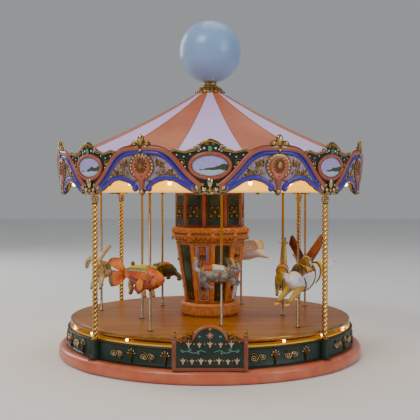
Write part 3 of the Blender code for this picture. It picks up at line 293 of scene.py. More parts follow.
# --- Materials: every one is built from nodes ---------------------------------------------------
def finish(name, colour, rough=0.4, metal=0.0, vary=0.18, scale=90.0, bump=0.15, grain=700.0, hollow_shade=0.55, coat=0.0,
           second=None, blend=(0.45, 0.6), streak=(1.0, 1.0, 1.0), glow=0.0, glow_colour=None, edge=0.0):
    """Paint or metal: uneven colour, a fine grain, painted shade in the hollows, painted highlights on the edges and an
    uneven sheen.
    """
    paint = bpy.data.materials.new(name)
    paint.use_nodes = True
    nodes = paint.node_tree.nodes
    links = paint.node_tree.links
    shader = nodes["Principled BSDF"]
    where = nodes.new("ShaderNodeTexCoord")
    scaling = nodes.new("ShaderNodeMapping")
    scaling.inputs["Scale"].default_value = streak
    links.new(where.outputs["Object"], scaling.inputs["Vector"])

    def noise(size, detail=4.0, rough_=0.55):
        node = nodes.new("ShaderNodeTexNoise")
        node.inputs["Scale"].default_value = size
        node.inputs["Detail"].default_value = detail
        node.inputs["Roughness"].default_value = rough_
        links.new(scaling.outputs["Vector"], node.inputs["Vector"])
        return node.outputs["Fac"]

    def ramp(value, stops):
        node = nodes.new("ShaderNodeValToRGB")
        while len(node.color_ramp.elements) < len(stops):
            node.color_ramp.elements.new(0.5)
        for element, (at, tone) in zip(node.color_ramp.elements, stops):
            element.position = at
            element.color = (*tone, 1.0) if isinstance(tone, tuple) else (tone, tone, tone, 1.0)
        links.new(value, node.inputs["Fac"])
        return node.outputs["Color"]

    def mix(kind, factor, a, b):
        node = nodes.new("ShaderNodeMix")
        node.data_type = "RGBA"
        node.blend_type = kind
        for socket, value in ((node.inputs[0], factor), (node.inputs[6], a), (node.inputs[7], b)):
            if isinstance(value, (int, float)):
                socket.default_value = value
            elif isinstance(value, tuple):
                socket.default_value = (*value, 1.0)
            else:
                links.new(value, socket)
        return node.outputs[2]

    dark = tuple(c * (1 - vary) for c in colour)
    light = tuple(min(1.0, c * (1 + vary)) for c in colour)
    tone = ramp(noise(scale), [(0.32, dark), (0.5, colour), (0.68, light)])
    if second:
        tone = mix("MIX", ramp(noise(scale * 0.6, 6.0), [(blend[0], 0.0), (blend[1], 1.0)]), tone, second)
    shape = nodes.new("ShaderNodeNewGeometry")
    # Painted shade: the colour is darkened in hollows and creases, where shade falls.
    if hollow_shade:
        tone = mix("MULTIPLY", hollow_shade, tone, ramp(shape.outputs["Pointiness"], [(0.42, 0.12), (0.5, 1.0)]))
    # Painted highlight: convex edges get a lighter copy of the same colour, where edges catch light.
    if edge:
        edge_highlight = ramp(shape.outputs["Pointiness"], [(0.52, 0.0), (0.6, 1.0)])
        tone = mix("MIX", mix("MULTIPLY", 1.0, edge_highlight, (edge, edge, edge)), tone, tuple(min(1.0, c * 1.6 + 0.1) for c in colour))
    links.new(tone, shader.inputs["Base Color"])
    sheen = nodes.new("ShaderNodeMapRange")
    sheen.inputs["To Min"].default_value = max(0.03, rough - 0.12)
    sheen.inputs["To Max"].default_value = rough + 0.12
    links.new(noise(scale * 2.3), sheen.inputs["Value"])
    links.new(sheen.outputs["Result"], shader.inputs["Roughness"])
    shader.inputs["Metallic"].default_value = metal
    shader.inputs["Coat Weight"].default_value = coat
    shader.inputs["Coat Roughness"].default_value = 0.15
    relief = nodes.new("ShaderNodeBump")
    relief.inputs["Strength"].default_value = bump
    relief.inputs["Distance"].default_value = 0.0004
    links.new(noise(grain, 3.0), relief.inputs["Height"])
    links.new(relief.outputs["Normal"], shader.inputs["Normal"])
    if glow:
        shader.inputs["Emission Color"].default_value = (*(glow_colour or colour), 1.0)
        shader.inputs["Emission Strength"].default_value = glow
    return paint


def picture(name):
    """A small painted view: lilac sky with cloud, a dark green shore and pale water, from the spot coordinates."""
    paint = finish(name, (0.55, 0.52, 0.85), 0.25, hollow_shade=0.0, coat=0.6)
    nodes = paint.node_tree.nodes
    links = paint.node_tree.links
    shader = nodes["Principled BSDF"]
    spot = nodes.new("ShaderNodeUVMap")
    spot.uv_map = "spot"
    parts = nodes.new("ShaderNodeSeparateXYZ")
    links.new(spot.outputs["UV"], parts.inputs["Vector"])

    def noise(size, detail, stretch):
        scaling = nodes.new("ShaderNodeMapping")
        scaling.inputs["Scale"].default_value = (1.0, stretch, 1.0)
        links.new(spot.outputs["UV"], scaling.inputs["Vector"])
        node = nodes.new("ShaderNodeTexNoise")
        node.inputs["Scale"].default_value = size
        node.inputs["Detail"].default_value = detail
        links.new(scaling.outputs["Vector"], node.inputs["Vector"])
        return node.outputs["Fac"]

    def maths(kind, a, b):
        node = nodes.new("ShaderNodeMath")
        node.operation = kind
        for socket, value in zip(node.inputs, (a, b)):
            if isinstance(value, (int, float)):
                socket.default_value = value
            else:
                links.new(value, socket)
        return node.outputs[0]

    def mix(factor, a, b):
        node = nodes.new("ShaderNodeMix")
        node.data_type = "RGBA"
        for socket, value in ((node.inputs[0], factor), (node.inputs[6], a), (node.inputs[7], b)):
            if isinstance(value, tuple):
                socket.default_value = (*value, 1.0)
            else:
                links.new(value, socket)
        return node.outputs[2]

    def over(value, limit, soft=0.02):
        node = nodes.new("ShaderNodeMapRange")
        node.inputs["From Min"].default_value = -soft
        node.inputs["From Max"].default_value = soft
        links.new(maths("SUBTRACT", value, limit), node.inputs["Value"])
        return node.outputs["Result"]

    up = parts.outputs["Y"]
    sky = mix(noise(3.0, 5.0, 3.0), (0.20, 0.15, 0.58), (0.66, 0.58, 0.88))
    water = mix(noise(4.0, 4.0, 6.0), (0.62, 0.66, 0.84), (0.30, 0.36, 0.56))
    shore = mix(noise(14.0, 5.0, 1.5), (0.004, 0.012, 0.004), (0.06, 0.09, 0.015))
    across = maths("FRACT", maths("MULTIPLY", maths("ADD", parts.outputs["X"], 1.0), 1.0 / 3.7), 0.0)
    hill = maths("ADD", maths("MULTIPLY", noise(2.2, 4.0, 0.0), 0.9), maths("ADD", maths("MULTIPLY", across, 1.3), -0.98))
    ground = mix(over(up, maths("ADD", maths("MULTIPLY", noise(3.0, 3.0, 0.0), 0.4), -0.62)), water, shore)
    tone = mix(over(up, hill), ground, sky)
    links.new(tone, shader.inputs["Base Color"])
    return paint


def lamp_glass():
    return finish("lamp_glass", (1.0, 0.78, 0.42), 0.15, vary=0.05, hollow_shade=0.0, coat=0.8, glow=14.0, glow_colour=(1.0, 0.58, 0.2))


GOLD = finish("gold", (0.84, 0.50, 0.14), 0.24, 1.0, vary=0.12, bump=0.12, hollow_shade=0.92, second=(0.42, 0.19, 0.04), blend=(0.58, 0.78))
PALE_GOLD = finish("pale_gold", (0.95, 0.74, 0.45), 0.24, 1.0, vary=0.1, hollow_shade=0.8)
OLD_GOLD = finish("old_gold", (0.46, 0.22, 0.05), 0.3, 0.9, vary=0.25, hollow_shade=0.85, second=(0.66, 0.40, 0.12), blend=(0.45, 0.62), edge=0.8)
CORAL = finish("coral_paint", (0.60, 0.125, 0.055), 0.34, vary=0.12, coat=0.15, second=(0.62, 0.18, 0.085), hollow_shade=0.75, edge=0.25)
CORAL_DARK = finish("coral_deep", (0.36, 0.035, 0.018), 0.36, vary=0.15, coat=0.1, hollow_shade=0.7)
GREEN = finish("green_paint", (0.0025, 0.016, 0.009), 0.46, vary=0.3, coat=0.0, second=(0.004, 0.026, 0.013), hollow_shade=0.4)
BLUE = finish("violet_paint", (0.075, 0.035, 0.62), 0.34, vary=0.14, coat=0.15, hollow_shade=0.8, edge=0.3)
LILAC = finish("lilac_ground", (0.34, 0.22, 0.36), 0.42, vary=0.14, hollow_shade=0.7, second=(0.25, 0.15, 0.20))
PEARL = finish("pearl_dots", (0.86, 0.84, 0.88), 0.2, vary=0.06, coat=0.7, hollow_shade=0.3)
GEM = finish("green_gem", (0.02, 0.26, 0.15), 0.12, vary=0.3, coat=1.0, hollow_shade=0.2)
# Painted light: the cream enamel glows orange as if lit by the crown lamps, though it is no lamp.
CREAM_PAINTED_GLOW = finish("cream_enamel_painted_glow", (0.85, 0.52, 0.07), 0.4, vary=0.06, hollow_shade=0.5, glow=1.15, glow_colour=(1.0, 0.52, 0.04))
LAMP = lamp_glass()
VIEW = picture("painted_view")
BLACK = finish("black_plastic", (0.018, 0.018, 0.02), 0.45, vary=0.3, bump=0.5, grain=1400.0, hollow_shade=0.0)
STEEL = finish("steel", (0.60, 0.60, 0.62), 0.22, 1.0, vary=0.06, streak=(1.0, 1.0, 0.06), grain=900.0, bump=0.2)
BRASS = finish("brass", (0.80, 0.56, 0.24), 0.28, 1.0, vary=0.1, streak=(0.2, 1.0, 1.0), grain=900.0, bump=0.2, hollow_shade=0.5)
POLE = finish("pole_metal", (0.24, 0.19, 0.16), 0.24, 1.0, vary=0.12, streak=(1.0, 1.0, 0.1), hollow_shade=0.0, second=(0.22, 0.13, 0.07))
CANOPY_WHITE = finish("canopy_white", (0.68, 0.50, 0.84), 0.45, vary=0.05, scale=25.0, bump=0.12, hollow_shade=0.3, second=(0.76, 0.60, 0.88))
CANOPY_CORAL = finish("canopy_coral", (0.52, 0.12, 0.045), 0.45, vary=0.1, scale=25.0, bump=0.12, hollow_shade=0.3, second=(0.60, 0.19, 0.07))
BALL = finish("ball_pearl", (0.24, 0.40, 0.68), 0.34, vary=0.1, scale=30.0, coat=0.2, second=(0.34, 0.47, 0.66), blend=(0.4, 0.7), hollow_shade=0.0, bump=0.05)
TOWER = finish("tower_orange", (0.78, 0.20, 0.025), 0.4, vary=0.2, scale=420.0, coat=0.1, second=(0.80, 0.32, 0.06), blend=(0.45, 0.55), hollow_shade=0.45, edge=0.3, bump=0.5)
TOWER_RED = finish("tower_red", (0.26, 0.035, 0.012), 0.42, vary=0.25, hollow_shade=0.6, second=(0.34, 0.07, 0.02))
# Painted reflection: the tower's mirror panels are near black with olive mottling, standing for what they reflect, in
# place of a mirror's own silver.
MIRROR_PAINTED_REFLECTION = finish("tower_mirror_painted_reflection", (0.028, 0.034, 0.030), 0.14, 0.6, vary=0.4, scale=70.0, bump=0.03, hollow_shade=0.0, second=(0.06, 0.075, 0.03))


def on_drum(radius, angle, level=0.0, lean=0.0):
    """Where a point (s along the surface, z, depth) lies on a round wall; lean is how far it flares per mm of height."""
    def place(s, z, d):
        return polar(radius + lean * z + d, angle + math.degrees(s / radius), level + z)

    return place


def mirrored(path):
    return [(-s, z) for s, z in path]


# --- Base ---------------------------------------------------------------------------------------
plinth_r = high("plinth", 0)
plinth_top = high("plinth")
band_r = plinth_r - 7.5
band_low = low("drum_band")
band_high = high("drum_band")
post_places = [(name, *middle(name)) for name in ("post_front_left", "post_front_right", "post_back_left", "post_back_right")]
post_angles = [angle_of(x, y) for _, x, y in post_places]
post_ring = math.hypot(post_places[0][1], post_places[0][2])


def near_post(angle, width):
    gap = min(abs((angle - a + 180) % 360 - 180) for a in post_angles)
    return max(0.0, 1 - (gap / width) ** 2) ** 2


def make_plinth():
    top = plinth_top
    inner = plinth_r - 11.0
    section = [(plinth_r - 2.6, 0.0), (plinth_r - 1.0, 0.7), (plinth_r - 0.55, 2.0), (plinth_r - 0.5, 4.6)]
    section += [(plinth_r - 0.7, 6.4), (plinth_r - 1.3, 7.6), (plinth_r - 2.3, 8.5), (plinth_r - 3.8, top)]
    profile = [(inner, 0.0), (plinth_r - 3.2, 0.0)] + curve(section, 4) + [(plinth_r - 4.6, top), (inner, top)]
    swell = lambda angle, z: 0.5 * near_post(angle, 7.0) if z > 0.5 and z < top + 1 else 0.0
    piece = Piece().add(lathe(profile, 240, closed=True, bulge=lambda a, z: swell(a, z)), CORAL)
    # The step round each pilaster's foot.
    for angle in post_angles:
        place = on_drum(band_r, angle)
        foot = [(-4.4, 0.0), (-3.9, 0.0), (3.9, 0.0), (4.4, 0.0)]
        rows = [[place(s, top + up, out) for s, out in ((-4.2, -0.6), (-3.6, 5.2), (-2.4, 6.0), (2.4, 6.0), (3.6, 5.2), (4.2, -0.6))] for up in (-0.4, 0.25)]
        piece.add(skin(rows), CORAL)
    piece.make("base_plinth", "base", ["plinth"], "coral_paint")


def plume(piece, place, z):
    """A palmette: five fat lobes fanned over a stem that tapers to a point."""
    for lean_, length, wide in ((0.0, 4.6, 1.9), (0.5, 4.1, 1.8), (-0.5, 4.1, 1.8), (1.05, 3.4, 1.6), (-1.05, 3.4, 1.6)):
        path = []
        for i in range(11):
            t = i / 10
            turn = lean_ * (0.3 + 0.8 * t)
            path.append((length * t * math.sin(turn), z + length * t * math.cos(turn)))
        piece.add(strip(path, lambda t, w=wide: w * (0.35 + 0.65 * math.sin(math.pi * min(1.0, 0.15 + 0.75 * t))), lambda t: 0.4 + 0.9 * math.sin(math.pi * min(1, t + 0.1)), place), OLD_GOLD)
        piece.add(bead(path[-2][0], path[-2][1], 0.62, place, 0.5), PALE_GOLD)
    piece.add(strip([(0, z + 1.2), (0, z - 1.0), (0, z - 3.0), (0, z - 4.9)], tail(3.0, 0.4), 1.1, place), OLD_GOLD)
    for side in (-1, 1):
        piece.add(strip([(side * 0.5, z + 0.4), (side * 0.4, z - 1.8), (0, z - 4.4)], tail(0.6, 0.3), 0.5, place, 0.9), GOLD)


def curl_pair(piece, place, z):
    """A running scroll: two spirals turned opposite ways on one rising stem, with leaves from its middle."""
    left = spiral((-2.9, z - 0.3), 2.0, 0.7, 200, -1.2, 20)
    right = spiral((2.9, z + 0.3), 2.0, 0.7, 20, -1.2, 20)
    path = left[::-1] + [(-1.3, z - 2.0), (0.0, z), (1.3, z + 2.0)] + right
    piece.add(strip(curve(path, 2), lambda t: 0.7 + 0.5 * math.sin(math.pi * t), 0.95, place), PALE_GOLD)
    for way in (1, -1):
        leaf = curve([(0.0, z), (-1.0 * way, z + 1.6 * way), (-2.6 * way, z + 3.0 * way), (-4.2 * way, z + 2.9 * way)], 4)
        piece.add(strip(leaf, bud(1.2), 0.8, place), OLD_GOLD)
        stem = curve([(0.2 * way, z), (1.4 * way, z - 1.6 * way), (3.2 * way, z - 3.2 * way), (4.6 * way, z - 2.3 * way)], 4)
        piece.add(strip(stem, bud(0.9), 0.7, place), GOLD)
        piece.add(bead(2.9 * way, z + 0.3 * way, 0.7, place, 0.2), PALE_GOLD)


def make_band():
    profile = [(band_r - 2.0, band_low), (band_r + 0.9, band_low), (band_r + 0.9, band_low + 0.7), (band_r + 0.2, band_low + 1.1)]
    profile += [(band_r, band_low + 1.4), (band_r, band_high - 1.2), (band_r + 0.4, band_high - 0.9), (band_r + 0.6, band_high - 0.4)]
    profile += [(band_r + 0.3, band_high), (band_r - 2.0, band_high)]
    piece = Piece().add(lathe(profile, 240, closed=True), GREEN)
    switch_low, switch_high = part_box("light_switch")
    count, pitch = 12, 6.4
    for quarter in range(4):
        for k in range(count):
            angle = 90.0 * quarter + pitch * (k - (count - 1) / 2) + 0.6
            place = on_drum(band_r, angle)
            if abs((angle - 180 + 180) % 360 - 180) < 4.0:
                continue  # the lamp switch is here
            if k % 2:
                plume(piece, place, (band_low + band_high) / 2 - 0.2)
            else:
                curl_pair(piece, place, (band_low + band_high) / 2)
    # The pilasters: fluted blocks with a plinth and a cap.
    for angle in post_angles:
        place = on_drum(band_r, angle)
        outline = [(-3.2, -0.8), (-3.0, 2.6), (-2.2, 4.0), (-1.3, 3.7), (-0.7, 4.2), (0.7, 4.2), (1.3, 3.7), (2.2, 4.0), (3.0, 2.6), (3.2, -0.8)]
        rows = []
        for z, grow in ((band_low, 1.1), (band_low + 1.4, 1.1), (band_low + 1.8, 0.92), (band_high - 2.4, 0.9), (band_high - 1.6, 1.05), (band_high - 0.2, 1.1), (band_high, 1.02)):
            rows.append([place(s * grow, z, d * grow if d > 0 else d) for s, d in outline])
        piece.add(skin(rows), GREEN)
    # A dark plate round the switch's slot.
    place = on_drum(band_r, 180.0)
    z = (switch_low.z + switch_high.z) / 2 / MM
    half = (switch_high.x - switch_low.x) / 2 / MM
    frame_path = [(-half - 4.2, z - 2.4), (half + 0.9, z - 2.4), (half + 0.9, z + 2.4), (-half - 4.2, z + 2.4)]
    piece.add(strip(curve(frame_path, 3, True), 0.7, 0.6, place, closed=True), OLD_GOLD)
    piece.make("base_drum", "base", ["drum_band"], "green_paint")


def make_channel():
    bottom, top = low("light_channel"), high("light_channel")
    outer = high("light_channel", 0)
    inner = outer - 7.0
    section = [(outer - 0.2, bottom + 1.0), (outer - 1.6, bottom + 0.55), (inner + 3.2, bottom + 0.5), (inner + 1.7, bottom + 0.9), (inner + 1.0, bottom + 2.0), (inner + 0.9, top)]
    profile = [(inner, bottom), (outer, bottom), (outer, bottom + 1.0)] + curve(section, 5)[1:] + [(inner, top)]
    # The channel's floor and lip glow with painted light from the bulbs.
    piece = Piece().add(lathe(profile, 240, closed=True), CHANNEL_GOLD_PAINTED_GLOW)
    # Painted shade: a dark brown skin over the channel's inner wall stands for the shade in the gap under the deck.
    piece.add(lathe([(inner + 0.9, bottom + 1.3), (inner + 1.75, bottom + 1.3), (inner + 1.3, bottom + 2.1), (inner + 1.15, top), (inner + 0.9, top)], 240, closed=True), CHANNEL_SHADE)
    piece.make("lamp_channel", "base", ["light_channel"], "gold_plate")
    ring = (low("base_lamp_ring", 0) + high("base_lamp_ring", 0)) / 2 + high("base_lamp_ring", 0) - 0.9
    bulbs = Piece()
    height = (low("base_lamp_ring") + high("base_lamp_ring")) / 2
    count = 18
    for i in range(count):
        x, y, z = polar(ring, 8.0 + 360.0 * i / count, height)
        bulbs.add(ball((x, y, z), 1.05, 8, 14, (1.0, 1.0, 0.95)), LAMP)
    bulbs.make("base_bulbs", "base", ["base_lamp_ring"], "warm_lamp")
    holders = Piece()
    for i in range(count):
        angle = 8.0 + 360.0 * i / count
        start = polar(ring - 0.9, angle, height)
        end = polar(inner + 1.2, angle, height)
        holders.add(tube([start, end], lambda t: 0.75, 12), OLD_GOLD)
        holders.add(tube([polar(ring - 1.3, angle, height), polar(ring - 1.6, angle, height)], 0.95, 12), OLD_GOLD)
    holders.make("base_bulb_holders", "base", slot="gold_plate")


# Painted shade: the colour of the channel's shaded inner wall.
CHANNEL_SHADE = finish("channel_painted_shade", (0.16, 0.045, 0.012), 0.4, 0.3, vary=0.25, hollow_shade=0.3, second=(0.28, 0.09, 0.02))
# Painted light: the channel's gold glows orange as if lit by the base bulbs, though it is no lamp.
CHANNEL_GOLD_PAINTED_GLOW = finish("channel_gold_painted_glow", (0.86, 0.52, 0.12), 0.26, 1.0, vary=0.08, hollow_shade=0.3, second=(0.7, 0.34, 0.06), blend=(0.5, 0.75), glow=0.22, glow_colour=(1.0, 0.45, 0.04))


def wood():
    """Narrow lacquered planks that run across the deck, each with its own tone and grain."""
    paint = bpy.data.materials.new("deck_wood")
    paint.use_nodes = True
    nodes = paint.node_tree.nodes
    links = paint.node_tree.links
    shader = nodes["Principled BSDF"]
    where = nodes.new("ShaderNodeTexCoord")
    parts = nodes.new("ShaderNodeSeparateXYZ")
    links.new(where.outputs["Object"], parts.inputs["Vector"])

    def maths(kind, a, b=0.0):
        node = nodes.new("ShaderNodeMath")
        node.operation = kind
        for socket, value in zip(node.inputs, (a, b)):
            if isinstance(value, (int, float)):
                socket.default_value = value
            else:
                links.new(value, socket)
        return node.outputs[0]

    def ramp(value, stops):
        node = nodes.new("ShaderNodeValToRGB")
        while len(node.color_ramp.elements) < len(stops):
            node.color_ramp.elements.new(0.5)
        for element, (at, tone) in zip(node.color_ramp.elements, stops):
            element.position = at
            element.color = (*tone, 1.0)
        links.new(value, node.inputs["Fac"])
        return node.outputs["Color"]

    def mix(kind, factor, a, b):
        node = nodes.new("ShaderNodeMix")
        node.data_type = "RGBA"
        node.blend_type = kind
        for socket, value in ((node.inputs[0], factor), (node.inputs[6], a), (node.inputs[7], b)):
            if isinstance(value, (int, float)):
                socket.default_value = value
            else:
                links.new(value, socket)
        return node.outputs[2]

    across = maths("DIVIDE", parts.outputs["Y"], 0.0062)
    plank = maths("FLOOR", across)
    seam = maths("ABSOLUTE", maths("SUBTRACT", maths("FRACT", across), 0.5))
    chance = nodes.new("ShaderNodeTexWhiteNoise")
    chance.noise_dimensions = "1D"
    links.new(plank, chance.inputs["W"])
    join = nodes.new("ShaderNodeCombineXYZ")
    links.new(maths("MULTIPLY", parts.outputs["X"], 22.0), join.inputs["X"])
    links.new(maths("MULTIPLY", parts.outputs["Y"], 420.0), join.inputs["Y"])
    links.new(maths("MULTIPLY", chance.outputs["Value"], 40.0), join.inputs["Z"])
    grain = nodes.new("ShaderNodeTexNoise")
    grain.inputs["Scale"].default_value = 1.6
    grain.inputs["Detail"].default_value = 7.0
    grain.inputs["Roughness"].default_value = 0.62
    links.new(join.outputs["Vector"], grain.inputs["Vector"])
    tone = ramp(grain.outputs["Fac"], [(0.3, (0.15, 0.055, 0.006)), (0.5, (0.33, 0.135, 0.016)), (0.72, (0.50, 0.24, 0.035))])
    shade = ramp(chance.outputs["Value"], [(0.0, (0.78, 0.78, 0.78)), (1.0, (1.12, 1.08, 1.02))])
    tone = mix("MULTIPLY", 1.0, tone, shade)
    gap = ramp(seam, [(0.455, (1, 1, 1)), (0.49, (0.35, 0.28, 0.22))])
    tone = mix("MULTIPLY", 0.75, tone, gap)
    links.new(tone, shader.inputs["Base Color"])
    sheen = nodes.new("ShaderNodeMapRange")
    sheen.inputs["To Min"].default_value = 0.26
    sheen.inputs["To Max"].default_value = 0.46
    links.new(grain.outputs["Fac"], sheen.inputs["Value"])
    links.new(sheen.outputs["Result"], shader.inputs["Roughness"])
    relief = nodes.new("ShaderNodeBump")
    relief.inputs["Strength"].default_value = 0.25
    relief.inputs["Distance"].default_value = 0.0002
    links.new(grain.outputs["Fac"], relief.inputs["Height"])
    links.new(relief.outputs["Normal"], shader.inputs["Normal"])
    shader.inputs["Specular IOR Level"].default_value = 0.25
    shader.inputs["Coat Weight"].default_value = 0.08
    shader.inputs["Coat Roughness"].default_value = 0.2
    return paint


WOOD = wood()
RIM = finish("deck_rim", (0.42, 0.22, 0.05), 0.3, 0.85, vary=0.15, coat=0.1, streak=(1, 1, 8.0), second=(0.30, 0.12, 0.02))


def make_deck():
    bottom, top = low("deck"), high("deck")
    edge = high("deck", 0)
    piece = Piece()
    piece.add(skin([[polar(r, 360.0 * i / 240, z) for i in range(240)] for r, z in ((3.4, top), (40.0, top), (edge - 2.5, top))], caps=False), WOOD)
    rim = [(edge - 2.5, top), (edge - 2.3, top - 0.15), (edge - 2.1, top), (edge - 0.7, top), (edge - 0.2, top - 0.25), (edge, top - 0.8), (edge, bottom + 0.5), (edge - 0.4, bottom)]
    piece.add(skin([[polar(r, 360.0 * i / 240, z) for i in range(240)] for r, z in rim], caps=False), RIM)
    piece.add(skin([[polar(r, 360.0 * i / 240, z) for i in range(240)] for r, z in ((edge - 0.4, bottom), (3.4, bottom), (3.4, top))], caps=False), WOOD)
    piece.make("turning_deck", "carousel", ["deck"], "deck_wood")


# --- Posts --------------------------------------------------------------------------------------
def make_posts():
    for name, x, y in post_places:
        bottom, top = low(name), high(name)
        cap = high("crown_boards") - 40.3
        piece = Piece()
        rows = []
        start, end = bottom + 2.0, cap - 4.4
        steps = 260
        strands = 3
        pitch = 3.07 * strands
        for i in range(steps + 1):
            z = start + (end - start) * i / steps
            row = []
            for k in range(24):
                u = 2 * math.pi * k / 24
                wave = abs(math.cos(strands / 2 * (u - 2 * math.pi * z / pitch)))
                row.append((x + (1.15 + 0.8 * wave) * math.cos(u), y + (1.15 + 0.8 * wave) * math.sin(u), z))
            rows.append(row)
        piece.add(skin(rows), GOLD)
        foot = [(2.3, bottom), (2.3, bottom + 0.7), (1.7, bottom + 1.0), (2.0, bottom + 1.5), (1.7, bottom + 2.0), (1.4, bottom + 2.2)]
        piece.add(moved(skin([[polar(r, 15 * k, z) for k in range(24)] for r, z in foot]), x, y), GOLD)
        neck = [(1.5, end - 0.3), (2.1, end), (2.1, end + 0.5), (1.5, end + 0.8), (1.7, end + 2.0), (2.1, end + 3.8), (2.4, end + 4.4), (2.4, end + 5.0), (1.6, end + 5.2), (1.5, top)]
        piece.add(moved(skin([[polar(r, 15 * k, z) for k in range(24)] for r, z in neck]), x, y), GOLD)
        for k in range(8):
            turn = math.radians(45 * k)
            c, s = math.cos(turn), math.sin(turn)
            leaf = [(x + c * r, y + s * r, z) for r, z in ((1.6, end + 0.9), (1.8, end + 2.3), (2.3, end + 3.6), (2.7, end + 3.5))]
            piece.add(tube(curve(leaf, 3), bud(0.8), 8), PALE_GOLD)
        piece.make(name + "_rope", "base", [name], "gold_plate", sharp=60)


# --- Crown --------------------------------------------------------------------------------------
crown_low = low("crown_boards")
crown_high = high("crown_boards")
crown_r = high("crown_boards", 0) - 3.5
BAYS = 8
BAY = 360.0 / BAYS
LEAN = 2.1 / 27.7
half_bay = math.radians(BAY / 2) * crown_r

# The shaped edges by distance along the wall from an arch's centre, above the crown's lowest point.
LOWER_EDGE = [(0.0, 1.2), (2.6, 2.6), (5.0, 5.6), (9.0, 8.2), (15.0, 9.7), (18.3, 9.8), (22.0, 8.8), (27.0, 5.9), (32.0, 3.0), (36.5, 1.6), (40.0, 1.5), (half_bay, 0.9)]
UPPER_EDGE = [(0.0, 30.6), (8.2, 30.4), (13.5, 29.4), (17.5, 27.7), (21.4, 27.4), (28.0, 27.5), (half_bay, 27.5)]
MOULDING = [(0.0, 29.9), (8.2, 29.7), (12.8, 29.0), (17.5, 26.9), (21.4, 23.6), (25.2, 19.0), (29.1, 14.3), (33.8, 9.7), (37.2, 6.9), (38.6, 5.6)]
UPPER_BLUE = [(0.0, 26.9), (7.6, 26.7), (11.8, 25.9), (15.6, 23.9), (19.3, 20.6), (23.0, 16.2), (27.1, 11.5), (31.6, 7.3), (35.0, 5.0)]


def edge_at(table, s):
    s = abs(s)
    for (a, low_), (b, high_) in zip(table, table[1:]):
        if s <= b:
            t = (s - a) / (b - a)
            t = t * t * (3 - 2 * t) if table is LOWER_EDGE else t
            return low_ + (high_ - low_) * t
    return table[-1][1]


def both(table, per=5):
    """A path over the whole arch from its right half."""
    full = mirrored(table[:0:-1]) + table
    return curve(full, per)


def leaf_spray(piece, place, root, lean_, length, wide, paint, lobes=3):
    """An acanthus spray: a bent main leaf with shorter ones along its outer side."""
    s0, z0 = root
    for i in range(lobes):
        part = i / max(lobes - 1, 1)
        reach = length * (1 - 0.35 * part)
        bend = lean_ + (0.7 if lean_ >= 0 else -0.7) * part
        path = []
        for k in range(9):
            t = k / 8
            turn = bend * (0.5 + 0.8 * t)
            path.append((s0 + reach * t * math.sin(turn), z0 + reach * t * math.cos(turn)))
        piece.add(strip(path, bud(wide), lambda t: 0.3 + 0.6 * math.sin(math.pi * min(1, t + 0.1)), place, 0.15), paint)


def volute(piece, place, centre, outer, start, turns, wide, paint, eye=None, base=0.2):
    path = spiral(centre, outer, outer * 0.22, start, turns)
    piece.add(strip(path, tail(wide, wide * 0.65), tail(0.95, 0.8), place, base), paint)
    if eye:
        piece.add(bead(centre[0], centre[1], outer * 0.42, place, base + 0.2), eye)


def on_crown(angle):
    """A place on the crown's wall, with the ornament's relief kept shallow."""
    wall = on_drum(crown_r, angle, crown_low, LEAN)
    return lambda s, z, d: wall(s, z, 0.65 * d)


def crown_board(piece):
    """The shaped wall behind the ornament."""
    columns = []
    for bay in range(BAYS):
        arch = BAY * (bay + 0.5)
        steps = 44
        for i in range(steps):
            s = -half_bay + 2 * half_bay * i / steps
            columns.append((arch, s))
    rows = []
    for arch, s in columns:
        place = on_crown(arch)
        a, b = edge_at(LOWER_EDGE, s), edge_at(UPPER_EDGE, s)
        row = [place(s, a + (b - a) * k / 6, 0.0) for k in range(7)]
        row += [place(s, b, -2.0), place(s, a + (b - a) * 0.5, -2.0), place(s, a, -2.0)]
        rows.append(row)
    piece.add(skin(rows, closed=True), GREEN)


def arch_field(piece, place):
    """The lilac ground inside an arch, between its blue bands."""
    inner = both(UPPER_BLUE, 3)
    rows = []
    for s, z in inner:
        a = edge_at(LOWER_EDGE, s) + 1.2
        top = max(z, a + 0.1)
        rows.append([place(s, a, 0.1), place(s, a, 0.45), place(s, (a + top) / 2, 0.5), place(s, top, 0.45), place(s, top, 0.1)])
    piece.add(skin(rows), LILAC)


